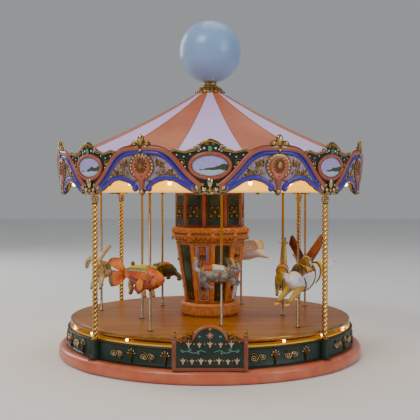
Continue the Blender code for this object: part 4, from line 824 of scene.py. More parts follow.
def rosette(piece, place):
    centre = (0.0, 18.4)
    ring = lambda w, h, n=48: oval(centre, w, h, n)
    piece.add(dome(ring(8.7, 8.3), centre, [(1.0, 0.3), (0.97, 1.1), (0.9, 1.3), (0.02, 1.3)], place), OLD_GOLD)
    piece.add(strip(ring(8.6, 8.2), 0.9, 0.8, place, 1.0, closed=True), GOLD)
    for i in range(20):
        turn = 2 * math.pi * (i + 0.5) / 20
        piece.add(bead(7.6 * math.cos(turn), centre[1] + 7.3 * math.sin(turn), 0.5, place, 1.2), PEARL)
    shape = [(s * (1.0 - 0.03 * max(0.0, centre[1] - 3.0 - z)), z - 1.0 * max(0.0, (centre[1] - 4.0 - z)) ** 0.9) for s, z in ring(6.3, 6.7)]
    piece.add(dome(shape, centre, [(1.0, 1.2), (1.0, 1.8), (0.94, 2.2), (0.84, 2.4), (0.78, 2.1), (0.02, 2.1)], place), CORAL)
    flower = (0.0, 18.9)
    piece.add(dome(oval(flower, 4.5, 5.2, 36), flower, [(1.0, 2.0), (0.97, 2.3), (0.02, 2.3)], place), OLD_GOLD)
    for i in range(14):
        turn = 2 * math.pi * i / 14
        path = [(flower[0] + r * 0.9 * math.cos(turn), flower[1] + r * 1.06 * math.sin(turn)) for r in (2.0, 2.9, 3.8, 4.6)]
        piece.add(strip(path, bud(1.5), 0.9, place, 2.1, 6), CORAL)
        piece.add(bead(path[-1][0], path[-1][1], 0.42, place, 2.4), PALE_GOLD)
    piece.add(dome(oval(flower, 2.1, 2.6, 24), flower, [(1.0, 2.2), (0.95, 3.0), (0.7, 3.4), (0.35, 3.2), (0.05, 3.3)], place), OLD_GOLD)
    # The tail of the shield runs down between the two openings to a drop.
    stem = curve([(0, 12.6), (0, 9.0), (0, 5.0), (0, 3.4)], 4)
    piece.add(strip(stem, lambda t: 5.4 - 3.2 * min(1, t * 1.2), 1.3, place, 1.0), CORAL)
    piece.add(bead(0, 2.2, 2.2, place, 0.6), OLD_GOLD)
    piece.add(bead(0, 2.7, 1.2, place, 2.0), PALE_GOLD)
    for side in (-1, 1):
        piece.add(bead(side * 3.0, 12.2, 0.55, place, 1.8), PEARL)
        stem = curve([(side * 2.4, 12.4), (side * 3.2, 10.2), (side * 4.9, 9.2), (side * 6.2, 9.4)], 4)
        piece.add(strip(stem, tail(1.5, 0.8), 1.0, place, 0.9), CORAL)


def arch(piece, place):
    arch_field(piece, place)
    # Blue bands with gold edges.
    piece.add(strip(both(UPPER_BLUE), 2.3, 1.4, place, 0.3), BLUE)
    outer = [(s + 1.5 * min(1.0, s / 12), z + 1.5) for s, z in UPPER_BLUE]
    piece.add(strip(both(outer), 1.6, 1.2, place, 0.3), BLUE)
    piece.add(strip(both([(s, z - 1.3) for s, z in UPPER_BLUE[:-1]]), 0.5, 0.9, place, 0.4), PALE_GOLD)
    for side in (-1, 1):
        lower = [(4.4, 4.4), (6.2, 7.4), (9.8, 9.6), (15.0, 11.2), (18.3, 11.3), (22.5, 10.2), (27.5, 7.2), (32.0, 4.4), (35.4, 3.1)]
        thin = [(5.4, 3.9), (7.0, 6.0), (10.2, 8.1), (15.2, 9.6), (18.3, 9.7), (22.2, 8.7), (27.0, 5.8), (32.0, 2.9), (36.0, 1.5)]
        inner = [(6.9, 9.4), (10.5, 11.7), (15.0, 12.9), (18.3, 13.0), (22.5, 11.8), (27.0, 9.2)]
        lower, thin, inner = ([(side * s, z) for s, z in path] for path in (lower, thin, inner))
        piece.add(strip(curve(lower, 5), lambda t: 3.0 + 0.6 * t, 1.25, place, 0.35), BLUE)
        piece.add(strip(curve(thin, 5), 0.85, 1.1, place, 0.4), PALE_GOLD)
        piece.add(strip(curve(inner, 5), 0.5, 0.7, place, 0.5), PALE_GOLD)
        volute(piece, place, (side * 5.2, 4.4), 2.6, 90 - side * 30, side * 1.2, 1.6, BLUE, BLUE, 0.5)
        piece.add(bead(side * 5.2, 4.4, 1.9, place, 0.8), BLUE)
        # Acanthus scrolls in the spandrels of the field.
        for s, z, size, turn, paint in ((12.6, 20.4, 2.2, 60, GOLD), (14.6, 15.6, 2.7, 20, PALE_GOLD), (19.4, 14.0, 2.0, -20, GOLD), (10.9, 14.6, 1.4, 100, PALE_GOLD)):
            volute(piece, place, (side * s, z), size, 90 + side * turn, side * 1.3, 1.15, paint, OLD_GOLD, 0.5)
        for s, z, lean_, length in ((10.2, 18.0, 0.1, 6.8), (12.6, 17.6, 0.7, 6.0), (14.8, 13.6, 1.2, 5.0), (17.6, 14.8, 1.0, 5.4), (20.6, 12.6, 1.7, 5.0), (11.8, 12.8, 2.0, 3.2)):
            leaf_spray(piece, place, (side * s, z), side * lean_, length, 1.5, OLD_GOLD, 3)
            leaf_spray(piece, place, (side * (s + 0.4), z + 0.3), side * (lean_ + 0.15), length * 0.8, 0.7, PALE_GOLD, 2)
        for s, z in ((11.6, 23.4), (16.2, 18.8), (19.4, 17.0), (23.2, 12.2)):
            piece.add(bead(side * s, z, 0.42, place, 0.8), PEARL)
    rosette(piece, place)
    # The coral moulding over the arch.
    piece.add(strip(both(MOULDING), 3.3, 2.2, place, 0.2, 10), CORAL)
    piece.add(strip(both([(s, z + 1.75) for s, z in MOULDING[:5]]), 0.7, 0.9, place, 0.4), CORAL_DARK)
    # The finial: a bud between two fat leaves, on a stem that crosses the moulding.
    piece.add(strip([(0, 26.4), (0, 28.4), (0, 31.0)], tail(1.6, 2.2), 1.4, place, 1.4), OLD_GOLD)
    piece.add(bead(0, 28.6, 1.0, place, 2.2), PALE_GOLD)
    for side in (-1, 1):
        wing = curve([(side * 0.6, 31.0), (side * 2.4, 32.6), (side * 4.6, 33.2), (side * 6.6, 31.2)], 4)
        piece.add(strip(wing, lambda t: 2.2 + 1.6 * math.sin(math.pi * t) - 0.6 * t, 2.0, place, 0.2), OLD_GOLD)
        piece.add(bead(side * 4.4, 33.0, 1.7, place, 1.1), GOLD)
        piece.add(bead(side * 6.4, 31.2, 1.2, place, 0.7), GOLD)
        piece.add(strip(curve([(side * 0.7, 30.6), (side * 3.4, 30.8), (side * 6.0, 29.9)], 4), bud(1.6), 1.2, place, 1.2), PALE_GOLD)
    top = crown_high - crown_low
    knob = [(0.0, 31.0), (0.0, 32.4), (0.0, top - 3.2), (0.0, top - 1.6), (0.0, top - 0.4)]
    piece.add(strip(curve(knob, 4), lambda t: 2.2 + 3.4 * math.sin(math.pi * min(1, max(0, (t - 0.15) / 0.85))) - 1.4 * t, lambda t: 1.6 + 1.6 * math.sin(math.pi * t), place, -0.4, 12), GOLD)
    piece.add(bead(0, top - 3.6, 1.9, place, 1.4), PALE_GOLD)


def cartouche(piece, place, index):
    centre = (0.0, 18.6)
    outer, inner = (13.6, 8.9), (11.1, 6.4)
    # The picture: a shallow dome with its own coordinates.
    outline = oval(centre, inner[0], inner[1], 48)
    levels = [(1.0, 0.9), (0.8, 1.15), (0.55, 1.35), (0.3, 1.45), (0.03, 1.5)]
    spots = []
    for size, _ in levels:
        spots += [((s - centre[0]) * size / inner[0] + 3.7 * index, (z - centre[1]) * size / inner[1]) for s, z in outline]
    piece.add(dome(outline, centre, levels, place), VIEW, spots)
    mid = ((outer[0] + inner[0]) / 2, (outer[1] + inner[1]) / 2)
    piece.add(strip(oval(centre, mid[0], mid[1], 72), outer[0] - inner[0] + 0.3, 1.9, place, 0.5, 10, closed=True), CORAL)
    piece.add(strip(oval(centre, inner[0] + 0.15, inner[1] + 0.15, 72), 0.55, 0.8, place, 1.3, closed=True), GOLD)
    for i in range(12):
        turn = 2 * math.pi * (i + 0.5) / 12
        piece.add(bead(mid[0] * math.cos(turn), centre[1] + mid[1] * math.sin(turn), 1.05, place, 1.6), CORAL)
    for s, z in ((15.4, 18.0), (16.2, 24.2), (20.6, 25.4), (12.2, 25.8), (12.4, 11.6)):
        for side in (-1, 1):
            piece.add(bead(side * s, z, 0.5, place, 0.2), PEARL)
    for side in (-1, 1):
        # C scrolls beside the picture.
        volute(piece, place, (side * 17.2, 20.6), 2.7, 90 - side * 70, side * 1.15, 0.9, PALE_GOLD, GOLD, 0.2)
        leaf_spray(piece, place, (side * 16.0, 16.4), side * 0.5, 4.2, 1.1, OLD_GOLD, 2)
        leaf_spray(piece, place, (side * 11.6, 10.2), side * 1.9, 4.6, 1.2, OLD_GOLD, 2)
        # The wavy top rail.
        rail = curve([(side * 7.4, 29.4), (side * 9.2, 28.3), (side * 12.0, 27.9), (side * 14.8, 26.9), (side * 17.8, 27.3), (side * 21.4, 28.4), (side * 24.2, 27.6), (side * 25.2, 26.0)], 5)
        piece.add(strip(rail, lambda t: 2.5 + 0.4 * math.sin(9 * t) - 0.4 * t, 1.9, place, 0.2), GOLD)
        piece.add(strip([(s, z + 0.7) for s, z in rail[2:-3]], 0.8, 0.8, place, 1.6), PALE_GOLD)
        piece.add(bead(side * 25.0, 25.8, 1.3, place, 0.8), GOLD)
        volute(piece, place, (side * 7.4, 30.6), 2.1, 90 - side * 90, -side * 1.2, 1.4, PALE_GOLD, PALE_GOLD, 0.4)
        # The leaf cluster at the foot.
        volute(piece, place, (side * 8.2, 5.0), 3.4, 90 - side * 40, -side * 1.3, 2.3, GOLD, PALE_GOLD, 0.7)
        piece.add(bead(side * 3.8, 3.8, 1.6, place, 1.4), PALE_GOLD)
        piece.add(bead(side * 4.6, 6.8, 1.2, place, 1.2), GOLD)
        leaf_spray(piece, place, (side * 1.2, 4.6), side * 2.2, 4.4, 2.0, GOLD, 3)
        leaf_spray(piece, place, (side * 5.2, 3.2), side * 1.7, 4.6, 1.6, PALE_GOLD, 2)
        sweep = curve([(side * 0.4, 0.9), (side * 3.2, 2.0), (side * 6.2, 0.9), (side * 9.6, 1.5)], 5)
        piece.add(strip(sweep, tail(1.9, 0.9), 1.4, place, 1.0), PALE_GOLD)
    drop = curve([(0, 10.8), (0, 9.0), (0, 6.8), (0, 4.8)], 5)
    piece.add(strip(drop, lambda t: 1.4 + 3.2 * math.sin(math.pi * min(1, 0.2 + 0.75 * t)) - 0.6 * t, lambda t: 1.4 + 1.4 * math.sin(math.pi * t), place, 1.0, 10), PALE_GOLD)
    piece.add(bead(0, 3.4, 1.5, place, 1.4), GOLD)
    piece.add(bead(0, 1.4, 1.1, place, 1.2), OLD_GOLD)
    # The crest with its gem.
    ground = oval((0, 29.6), 7.6, 3.6, 28)
    piece.add(dome(ground, (0, 29.6), [(1.0, -1.2), (1.0, 0.3), (0.92, 0.6), (0.02, 0.6)], place), GREEN)
    piece.add(strip(both([(0.0, 34.2), (2.2, 33.6), (4.4, 32.8), (6.4, 31.4)], 5), lambda t: 1.6 + 1.0 * math.sin(math.pi * t), 1.6, place, 0.1), GOLD)
    for side in (-1, 1):
        leaf_spray(piece, place, (side * 0.7, 31.6), side * 0.75, 3.6, 1.4, GOLD, 3)
        piece.add(bead(side * 3.5, 29.4, 0.75, place, 0.7), PEARL)
        piece.add(bead(side * 5.6, 28.6, 0.55, place, 0.7), PEARL)
    piece.add(bead(0, 34.2, 1.0, place, 0.7), PALE_GOLD)
    piece.add(dome(oval((0, 28.9), 1.35, 2.0, 18), (0, 28.9), [(1.0, 0.9), (0.96, 1.5), (0.6, 2.3), (0.5, 2.4), (0.03, 2.4)], place), GEM)
    piece.add(strip(oval((0, 28.9), 1.45, 2.1, 26), 0.5, 0.5, place, 0.9, closed=True), GOLD)


def make_crown():
    board = Piece()
    crown_board(board)
    board.make("crown_wall", "base", ["crown_boards"], "crown_paint")
    arches = Piece()
    shields = Piece()
    for bay in range(BAYS):
        arch(arches, on_crown(BAY * (bay + 0.5)))
        cartouche(shields, on_crown(BAY * bay), bay)
    arches.make("crown_arches", "base", slot="crown_paint", sharp=50)
    shields.make("crown_cartouches", "base", slot="crown_paint", sharp=50)


def make_inner_crown():
    """The hoop behind the boards, the ceiling's fascia and the lamps between them; hoop and ceiling glow with painted
    lamp light.
    """
    bottom, top = low("crown_hoop"), high("crown_hoop")
    outer = high("crown_hoop", 0)
    inner = outer - 11.5
    profile = [(inner, bottom), (inner, bottom + 1.2), (outer - 1.4, bottom + 1.2), (outer - 1.4, top - 1.4), (outer - 4.0, top - 1.4), (outer - 4.0, top), (outer, top), (outer, bottom), (outer - 2.4, bottom), (outer - 2.8, bottom - 0.0), (inner + 1.6, bottom), (inner + 1.2, bottom)]
    Piece().add(lathe(profile, 192, closed=True), CREAM_PAINTED_GLOW).make("crown_inner_hoop", "base", ["crown_hoop"], "cream_paint")
    ring = outer - 7.0
    height = bottom - 1.7
    lamps, caps = Piece(), Piece()
    for bay in range(BAYS):
        for side in (-8.0, 8.0):
            x, y, z = polar(ring, BAY * (bay + 0.5) + side, height)
            lamps.add(ball((x, y, z), 1.4, 8, 14), LAMP)
            caps.add(tube([(x, y, height + 0.9), (x, y, bottom - 0.1)], 1.0, 12), OLD_GOLD)
    lamps.make("crown_bulbs", "base", ["crown_lamp_ring"], "warm_lamp")
    caps.make("crown_bulb_caps", "base", slot="gold_plate")
    bottom, top = low("ceiling_drum"), high("ceiling_drum")
    edge = high("ceiling_drum", 0)
    outer_wall = [(3.3, bottom), (30.0, bottom), (edge - 8.0, bottom), (edge - 7.6, bottom - 0.0), (edge - 1.2, bottom), (edge - 0.3, bottom + 0.3), (edge, bottom + 1.0), (edge - 0.5, bottom + 1.8), (edge - 0.5, top - 1.6), (edge, top - 1.0), (edge, top - 0.2), (edge - 1.5, top), (edge - 1.5, bottom + 2.0), (3.3, bottom + 2.0)]
    piece = Piece().add(lathe(outer_wall, 192, closed=True), CREAM_PAINTED_GLOW)
    for i in range(40):
        place = on_drum(edge - 0.5, 9.0 * i, bottom)
        piece.add(bead(0, 11.0, 0.6, place, 0.0), GOLD)
    piece.make("ceiling_with_fascia", "carousel", ["ceiling_drum"], "cream_paint")


# --- Canopy, collar and ball --------------------------------------------------------------------
def make_canopy():
    rim_r, eye_r = high("canopy", 0), 7.0
    rim_z, eye_z = low("canopy") + 1.8, high("canopy")
    slope, hollow = 0.637, 0.00118
    fall = lambda r: slope * r - hollow * r * r
    height = lambda r: eye_z + fall(eye_r) - fall(r)
    sectors = 16
    columns = 12
    piece = Piece()
    radii = [eye_r + (rim_r - eye_r) * (i / 26) ** 0.9 for i in range(27)]
    for k in range(sectors):
        start = (k - 0.5) * 360.0 / sectors
        rows = []
        for r in radii:
            row = []
            for i in range(columns + 1):
                t = i / columns
                sag = -0.014 * (r - eye_r) * math.sin(math.pi * t) * (0.4 + 0.6 * (1 - r / rim_r) * 2)
                row.append(polar(r, start + t * 360.0 / sectors, height(r) + sag))
            rows.append(row)
        shape = skin(rows, around=False)
        piece.add(shape, CANOPY_CORAL if k % 2 else CANOPY_WHITE)
    # The underside and the rim, as one skin a wall below.
    rows = []
    for r, drop in [(rim_r, 0.0), (rim_r, 1.2), (rim_r - 0.4, 1.8)] + [(r, 1.8) for r in reversed(radii[:-1])]:
        rows.append([polar(r, 360.0 * i / 192, height(r) - drop) for i in range(192)])
    piece.add(skin(rows, caps=False), CANOPY_WHITE)
    piece.make("canopy_shell", "base", ["canopy"], "canopy_paint", sharp=30)
    seams = Piece()
    for k in range(sectors):
        angle = (k - 0.5) * 360.0 / sectors
        path = [polar(r, angle, height(r) + 0.02) for r in radii[1:]]
        seams.add(tube(path, tail(0.32, 0.42), 8), CANOPY_CORAL)
    hem = [polar(rim_r - 0.3, 360.0 * i / 192, height(rim_r) + 0.05) for i in range(193)]
    seams.add(tube(hem, 0.55, 8), CANOPY_CORAL)
    seams.make("canopy_piping", "base", slot="canopy_paint")


def make_top():
    bottom, top = low("finial_collar"), high("finial_collar")
    wide = high("finial_collar", 0)
    section = [(wide - 0.6, bottom + 0.1), (wide, bottom + 0.9), (wide - 0.3, bottom + 1.7), (wide - 1.6, bottom + 2.4), (wide - 2.4, bottom + 3.4), (wide - 3.2, bottom + 4.3), (wide - 3.9, bottom + 4.4), (wide - 4.8, bottom + 5.6), (5.6, bottom + 6.6), (5.0, bottom + 7.4), (5.3, bottom + 7.8), (5.1, bottom + 8.4), (4.7, top)]
    profile = [(4.0, bottom + 2.6)] + curve(section, 3) + [(3.0, top)]
    piece = Piece().add(lathe(profile, 72), GOLD)
    place = on_drum(wide - 0.7, 0.0, bottom)
    for i in range(16):
        angle = 22.5 * i
        leaf = [polar(r, angle, z) for r, z in ((wide - 0.6, bottom + 1.5), (wide - 1.8, bottom + 2.5), (wide - 3.0, bottom + 3.9), (wide - 4.0, bottom + 5.0))]
        piece.add(tube(curve(leaf, 3), bud(0.7), 8), OLD_GOLD)
    for i in range(24):
        x, y, z = polar(wide - 0.1, 15.0 * i, bottom + 1.2)
        piece.add(ball((x, y, z), 0.6, 5, 8), GOLD)
    piece.make("gilt_collar", "base", ["finial_collar"], "gold_plate")
    radius = high("finial_ball", 0)
    centre = (low("finial_ball") + high("finial_ball")) / 2
    rows = []
    for i in range(49):
        a = math.pi * (0.004 + 0.992 * i / 48)
        r = radius * math.sin(a) - (0.12 * math.exp(-(((i - 24) / 0.7) ** 2)))
        rows.append([polar(r, 360.0 * k / 96, centre - radius * math.cos(a)) for k in range(96)])
    Piece().add(skin(rows), BALL).make("pearl_ball", "base", ["finial_ball"], "pearl_ball")


# --- Tower --------------------------------------------------------------------------------------
def facets(body_low, body_high, low_r, high_r, sides, turn, panel, paint):
    """A many-sided wall whose faces carry panels: panel(piece, place, width, height, index)."""
    for k in range(sides):
        angle = turn + (k + 0.5) * 360.0 / sides
        share_ = math.cos(math.pi / sides)
        lean_angle = math.atan2((high_r - low_r) * share_, body_high - body_low)

        def place(s, z, d, angle=angle, lean_angle=lean_angle):
            out = low_r * share_ + z * math.tan(lean_angle) + d * math.cos(lean_angle)
            a = math.radians(angle)
            x = out * math.sin(a) + s * math.cos(a)
            y = -out * math.cos(a) + s * math.sin(a)
            return (x, y, body_low + z - d * math.sin(lean_angle))

        panel(paint, place, lambda z: 2 * (low_r + (high_r - low_r) * z / (body_high - body_low)) * math.sin(math.pi / sides), body_high - body_low, k)


def plate(place, corners, out, back=0.0, bevel=0.3):
    """A flat raised plate with a bevelled edge, from its corners (s, z)."""
    n = len(corners)
    cs = sum(c[0] for c in corners) / n
    cz = sum(c[1] for c in corners) / n
    rows = []
    for inset, d in ((0.0, back), (0.0, out - bevel), (bevel, out)):
        row = []
        for s, z in corners:
            length = math.hypot(s - cs, z - cz)
            k = 1 - inset * 1.4 / length
            row.append(place(cs + (s - cs) * k, cz + (z - cz) * k, d))
        rows.append(row)
    return skin(rows)


RED_ENAMEL = finish("red_enamel", (0.42, 0.03, 0.015), 0.2, vary=0.2, coat=0.6, hollow_shade=0.3)
TOWER_PALE = finish("tower_pale_orange", (0.80, 0.36, 0.10), 0.38, vary=0.15, scale=300.0, hollow_shade=0.3, edge=0.3)
MIRROR_WARM = finish("tower_panel_gilt", (0.62, 0.24, 0.035), 0.36, 0.25, vary=0.35, scale=380.0, hollow_shade=0.4, second=(0.42, 0.05, 0.015), blend=(0.48, 0.54), bump=0.7)
LILAC_PANEL = finish("tower_panel_lilac", (0.34, 0.26, 0.62), 0.38, vary=0.2, scale=120.0, hollow_shade=0.4, second=(0.58, 0.46, 0.66), coat=0.1)


def lower_panel(piece, place, width, height, k):
    w0, w1 = width(0) / 2 - 2.3, width(height) / 2 - 2.7
    at = lambda z: w0 + (w1 - w0) * z / height
    z0, z1 = 2.0, height - 2.4
    mirror = k % 2 == 1
    piece.add(plate(place, [(-at(z0), z0), (at(z0), z0), (at(z1), z1), (-at(z1), z1)], 0.35), MIRROR_PAINTED_REFLECTION if mirror else MIRROR_WARM if k % 4 else LILAC_PANEL)
    edge = [(-at(z0), z0), (at(z0), z0), (at(z1), z1), (-at(z1), z1)]
    loop = []
    for a, b in zip(edge, edge[1:] + edge[:1]):
        loop += [(a[0] + (b[0] - a[0]) * t / 6, a[1] + (b[1] - a[1]) * t / 6) for t in range(6)]
    piece.add(strip(loop, 0.8, 0.7, place, 0.2, closed=True), OLD_GOLD if mirror else TOWER_PALE)
    if mirror:
        for side in (-1, 1):
            piece.add(strip([(side * (at(z0) - 0.7), z0 + 1), (side * (at(z1) - 0.7), z1 - 1)], 0.4, 0.4, place, 0.3), GOLD)
            volute(piece, place, (side * 1.6, z0 + 4.4), 1.6, 90 - side * 90, side * 1.1, 0.6, PALE_GOLD, GOLD, 0.35)
            leaf_spray(piece, place, (side * 0.4, z0 + 1.4), side * 0.7, 3.0, 1.1, GOLD, 2)
        return
    # A column of scrolls and leaves, with a plain strip left on each side.
    if k % 4 == 0:
        half = lambda z: 0.5 * at(z)
        piece.add(plate(place, [(-half(z0), z0), (half(z0), z0), (half(z1), z1), (-half(z1), z1)], 0.6), MIRROR_WARM)
    for i in range(6):
        z = z0 + 3.0 + 6.0 * i
        for side in (-1, 1):
            volute(piece, place, (side * 1.3, z), 1.3, 90 - side * 60, side * 1.2, 0.6, GOLD if i % 2 else TOWER_PALE, PALE_GOLD, 0.6)
            leaf_spray(piece, place, (side * 0.3, z + 1.6), side * 0.5, 3.2, 1.0, TOWER_PALE, 2)
        piece.add(bead(0, z + 1.4, 0.7, place, 0.7), RED_ENAMEL)
        piece.add(bead(0, z - 1.4, 0.5, place, 0.7), PALE_GOLD)


def stiles(piece, low_z, high_z, low_r, high_r, sides, turn, wide, paint, beads=0):
    for k in range(sides):
        angle = turn + k * 360.0 / sides
        path = [polar(low_r - 0.2 + (high_r - low_r) * t / 8, angle, low_z + (high_z - low_z) * t / 8) for t in range(9)]
        piece.add(tube(path, wide, 12), paint)
        for i in range(beads):
            t = (i + 0.5) / beads
            piece.add(ball(polar(low_r + (high_r - low_r) * t + wide * 0.7, angle, low_z + (high_z - low_z) * t), 0.42, 5, 8), GOLD)


def upper_panel(piece, place, width, height, k):
    w = width(0) / 2 - 2.1
    z0, z1 = 1.6, height - 1.6
    piece.add(plate(place, [(-w, z0), (w, z0), (w, z1), (-w, z1)], 0.35), MIRROR_PAINTED_REFLECTION)
    loop = []
    edge = [(-w, z0), (w, z0), (w, z1), (-w, z1)]
    for a, b in zip(edge, edge[1:] + edge[:1]):
        loop += [(a[0] + (b[0] - a[0]) * t / 6, a[1] + (b[1] - a[1]) * t / 6) for t in range(6)]
    piece.add(strip(loop, 0.7, 0.6, place, 0.2, closed=True), OLD_GOLD)
    for side in (-1, 1):
        volute(piece, place, (side * 2.9, 8.4), 2.2, 90 - side * 60, side * 1.2, 0.7, OLD_GOLD, GOLD, 0.35)
        volute(piece, place, (side * 2.2, 14.6), 1.7, 90 + side * 60, -side * 1.2, 0.6, OLD_GOLD, GOLD, 0.35)
        leaf_spray(piece, place, (side * 1.0, 10.0), side * 0.5, 5.4, 1.0, OLD_GOLD, 2)
    piece.add(bead(0, 11.4, 0.9, place, 0.4), GOLD)
    piece.add(strip([(0, 12.0), (0, 14.0), (0, 17.8)], bud(1.2), 0.6, place, 0.3), OLD_GOLD)


def make_tower():
    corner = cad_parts["tower_base"].data.vertices
    far = max(corner, key=lambda v: math.hypot(v.co.x, v.co.y)).co
    turn = angle_of(far.x, far.y)
    sides = 10
    # Base block.
    bottom, top = low("tower_base"), high("tower_base")
    wide = max(math.hypot(v.co.x, v.co.y) for v in corner) / MM
    piece = Piece()
    tall = top - bottom
    section = [(wide - 1.3, bottom), (wide - 0.6, bottom + 0.9), (wide - 0.1, bottom + 2.4), (wide, bottom + 0.5 * tall), (wide - 0.2, top - 2.6), (wide - 0.7, top - 1.0), (wide - 1.5, top)]
    piece.add(lathe([(3.0, bottom)] + curve(section, 3) + [(3.0, top)], sides, turn, closed=True), TOWER)

    def base_panel(piece_, place, width, height, k):
        for i in range(5):
            s = width(0) / 2 * (i - 2) / 2.6
            leaf_spray(piece_, place, (s, 1.2), 0.0, 1.7, 1.1, TOWER_PALE, 1)
        piece_.add(strip([(-width(0) / 2 + 0.6, tall - 1.9), (0, tall - 1.9), (width(0) / 2 - 0.6, tall - 1.9)], 0.6, 0.5, place, 0.35), TOWER_PALE)

    facets(bottom, top, wide - 0.5, wide - 0.5, sides, turn, base_panel, piece)
    piece.make("tower_plinth", "carousel", ["tower_base"], "tower_paint", sharp=20)
    # Lower, tapered section.
    bottom, top = low("tower_panels"), high("tower_panels")
    foot, shoulder = 19.0, 26.5
    piece = Piece()
    wall = [(foot - 2.0, bottom), (foot - 0.3, bottom), (foot - 0.3 + 0.02, bottom + 0.1), (shoulder - 0.3, top), (shoulder - 2.0, top)]
    piece.add(lathe(wall, sides, turn, closed=True), TOWER)
    facets(bottom, top, foot - 0.3, shoulder - 0.3, sides, turn, lower_panel, piece)
    stiles(piece, bottom + 0.3, top - 0.2, foot - 0.9, shoulder - 0.9, sides, turn, 1.9, TOWER, 9)
    piece.make("tower_lower_walls", "carousel", ["tower_panels"], "tower_paint", sharp=25)
    # Cornice.
    bottom, top = low("tower_cornice"), high("tower_cornice")
    wide = 30.5
    piece = Piece()
    profile = [(3.0, bottom), (27.1, bottom), (27.6, bottom + 0.9), (29.2, bottom + 2.6), (29.6, bottom + 3.4), (wide, bottom + 3.9), (wide, bottom + 4.7), (29.9, bottom + 5.0), (29.9, top - 3.8), (wide, top - 3.4), (wide, top - 2.6), (29.4, top - 1.6), (29.2, top), (3.0, top)]
    piece.add(lathe(profile, sides, turn, closed=True), TOWER)

    def frieze(piece_, place, width, height, k):
        for s in (-6.0, 0.0, 6.0):
            volute(piece_, place, (s - 1.1, height - 2.6), 1.5, 60, 1.1, 0.8, TOWER_PALE, GOLD, 0.3)
            volute(piece_, place, (s + 1.1, height - 2.6), 1.5, 120, -1.1, 0.8, TOWER_PALE, GOLD, 0.3)
        for s in (-5.4, -1.8, 1.8, 5.4):
            leaf_spray(piece_, place, (s, 1.4), 0.0, 2.6, 1.0, TOWER_PALE, 1)
            leaf_spray(piece_, place, (s, 1.2), 0.8, 2.1, 0.8, GOLD, 1)
            leaf_spray(piece_, place, (s, 1.2), -0.8, 2.1, 0.8, GOLD, 1)
        piece_.add(plate(place, [(-7.6, 5.3), (7.6, 5.3), (7.6, 6.7), (-7.6, 6.7)], 0.3, bevel=0.15), TOWER_RED)
        for s in range(-7, 8, 2):
            piece_.add(bead(s, 6.0, 0.5, place, 0.25), GOLD)

    facets(bottom, top, 29.9, 29.9, sides, turn, frieze, piece)
    piece.make("tower_cornice_ring", "carousel", ["tower_cornice"], "tower_paint", sharp=20)
    # Upper section.
    bottom, top = low("tower_upper"), high("tower_upper")
    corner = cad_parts["tower_upper"].data.vertices
    far = max(corner, key=lambda v: math.hypot(v.co.x, v.co.y)).co
    turn, wide = angle_of(far.x, far.y), math.hypot(far.x, far.y) / MM
    piece = Piece()
    piece.add(lathe([(wide - 2.0, bottom), (wide - 0.3, bottom), (wide - 0.3, top), (wide - 2.0, top)], sides, turn, closed=True), TOWER_RED)
    facets(bottom, top, wide - 0.3, wide - 0.3, sides, turn, upper_panel, piece)
    stiles(piece, bottom + 0.2, top - 0.2, wide - 1.2, wide - 1.2, sides, turn, 1.8, TOWER_RED, 5)
    piece.make("tower_upper_walls", "carousel", ["tower_upper"], "tower_paint", sharp=25)


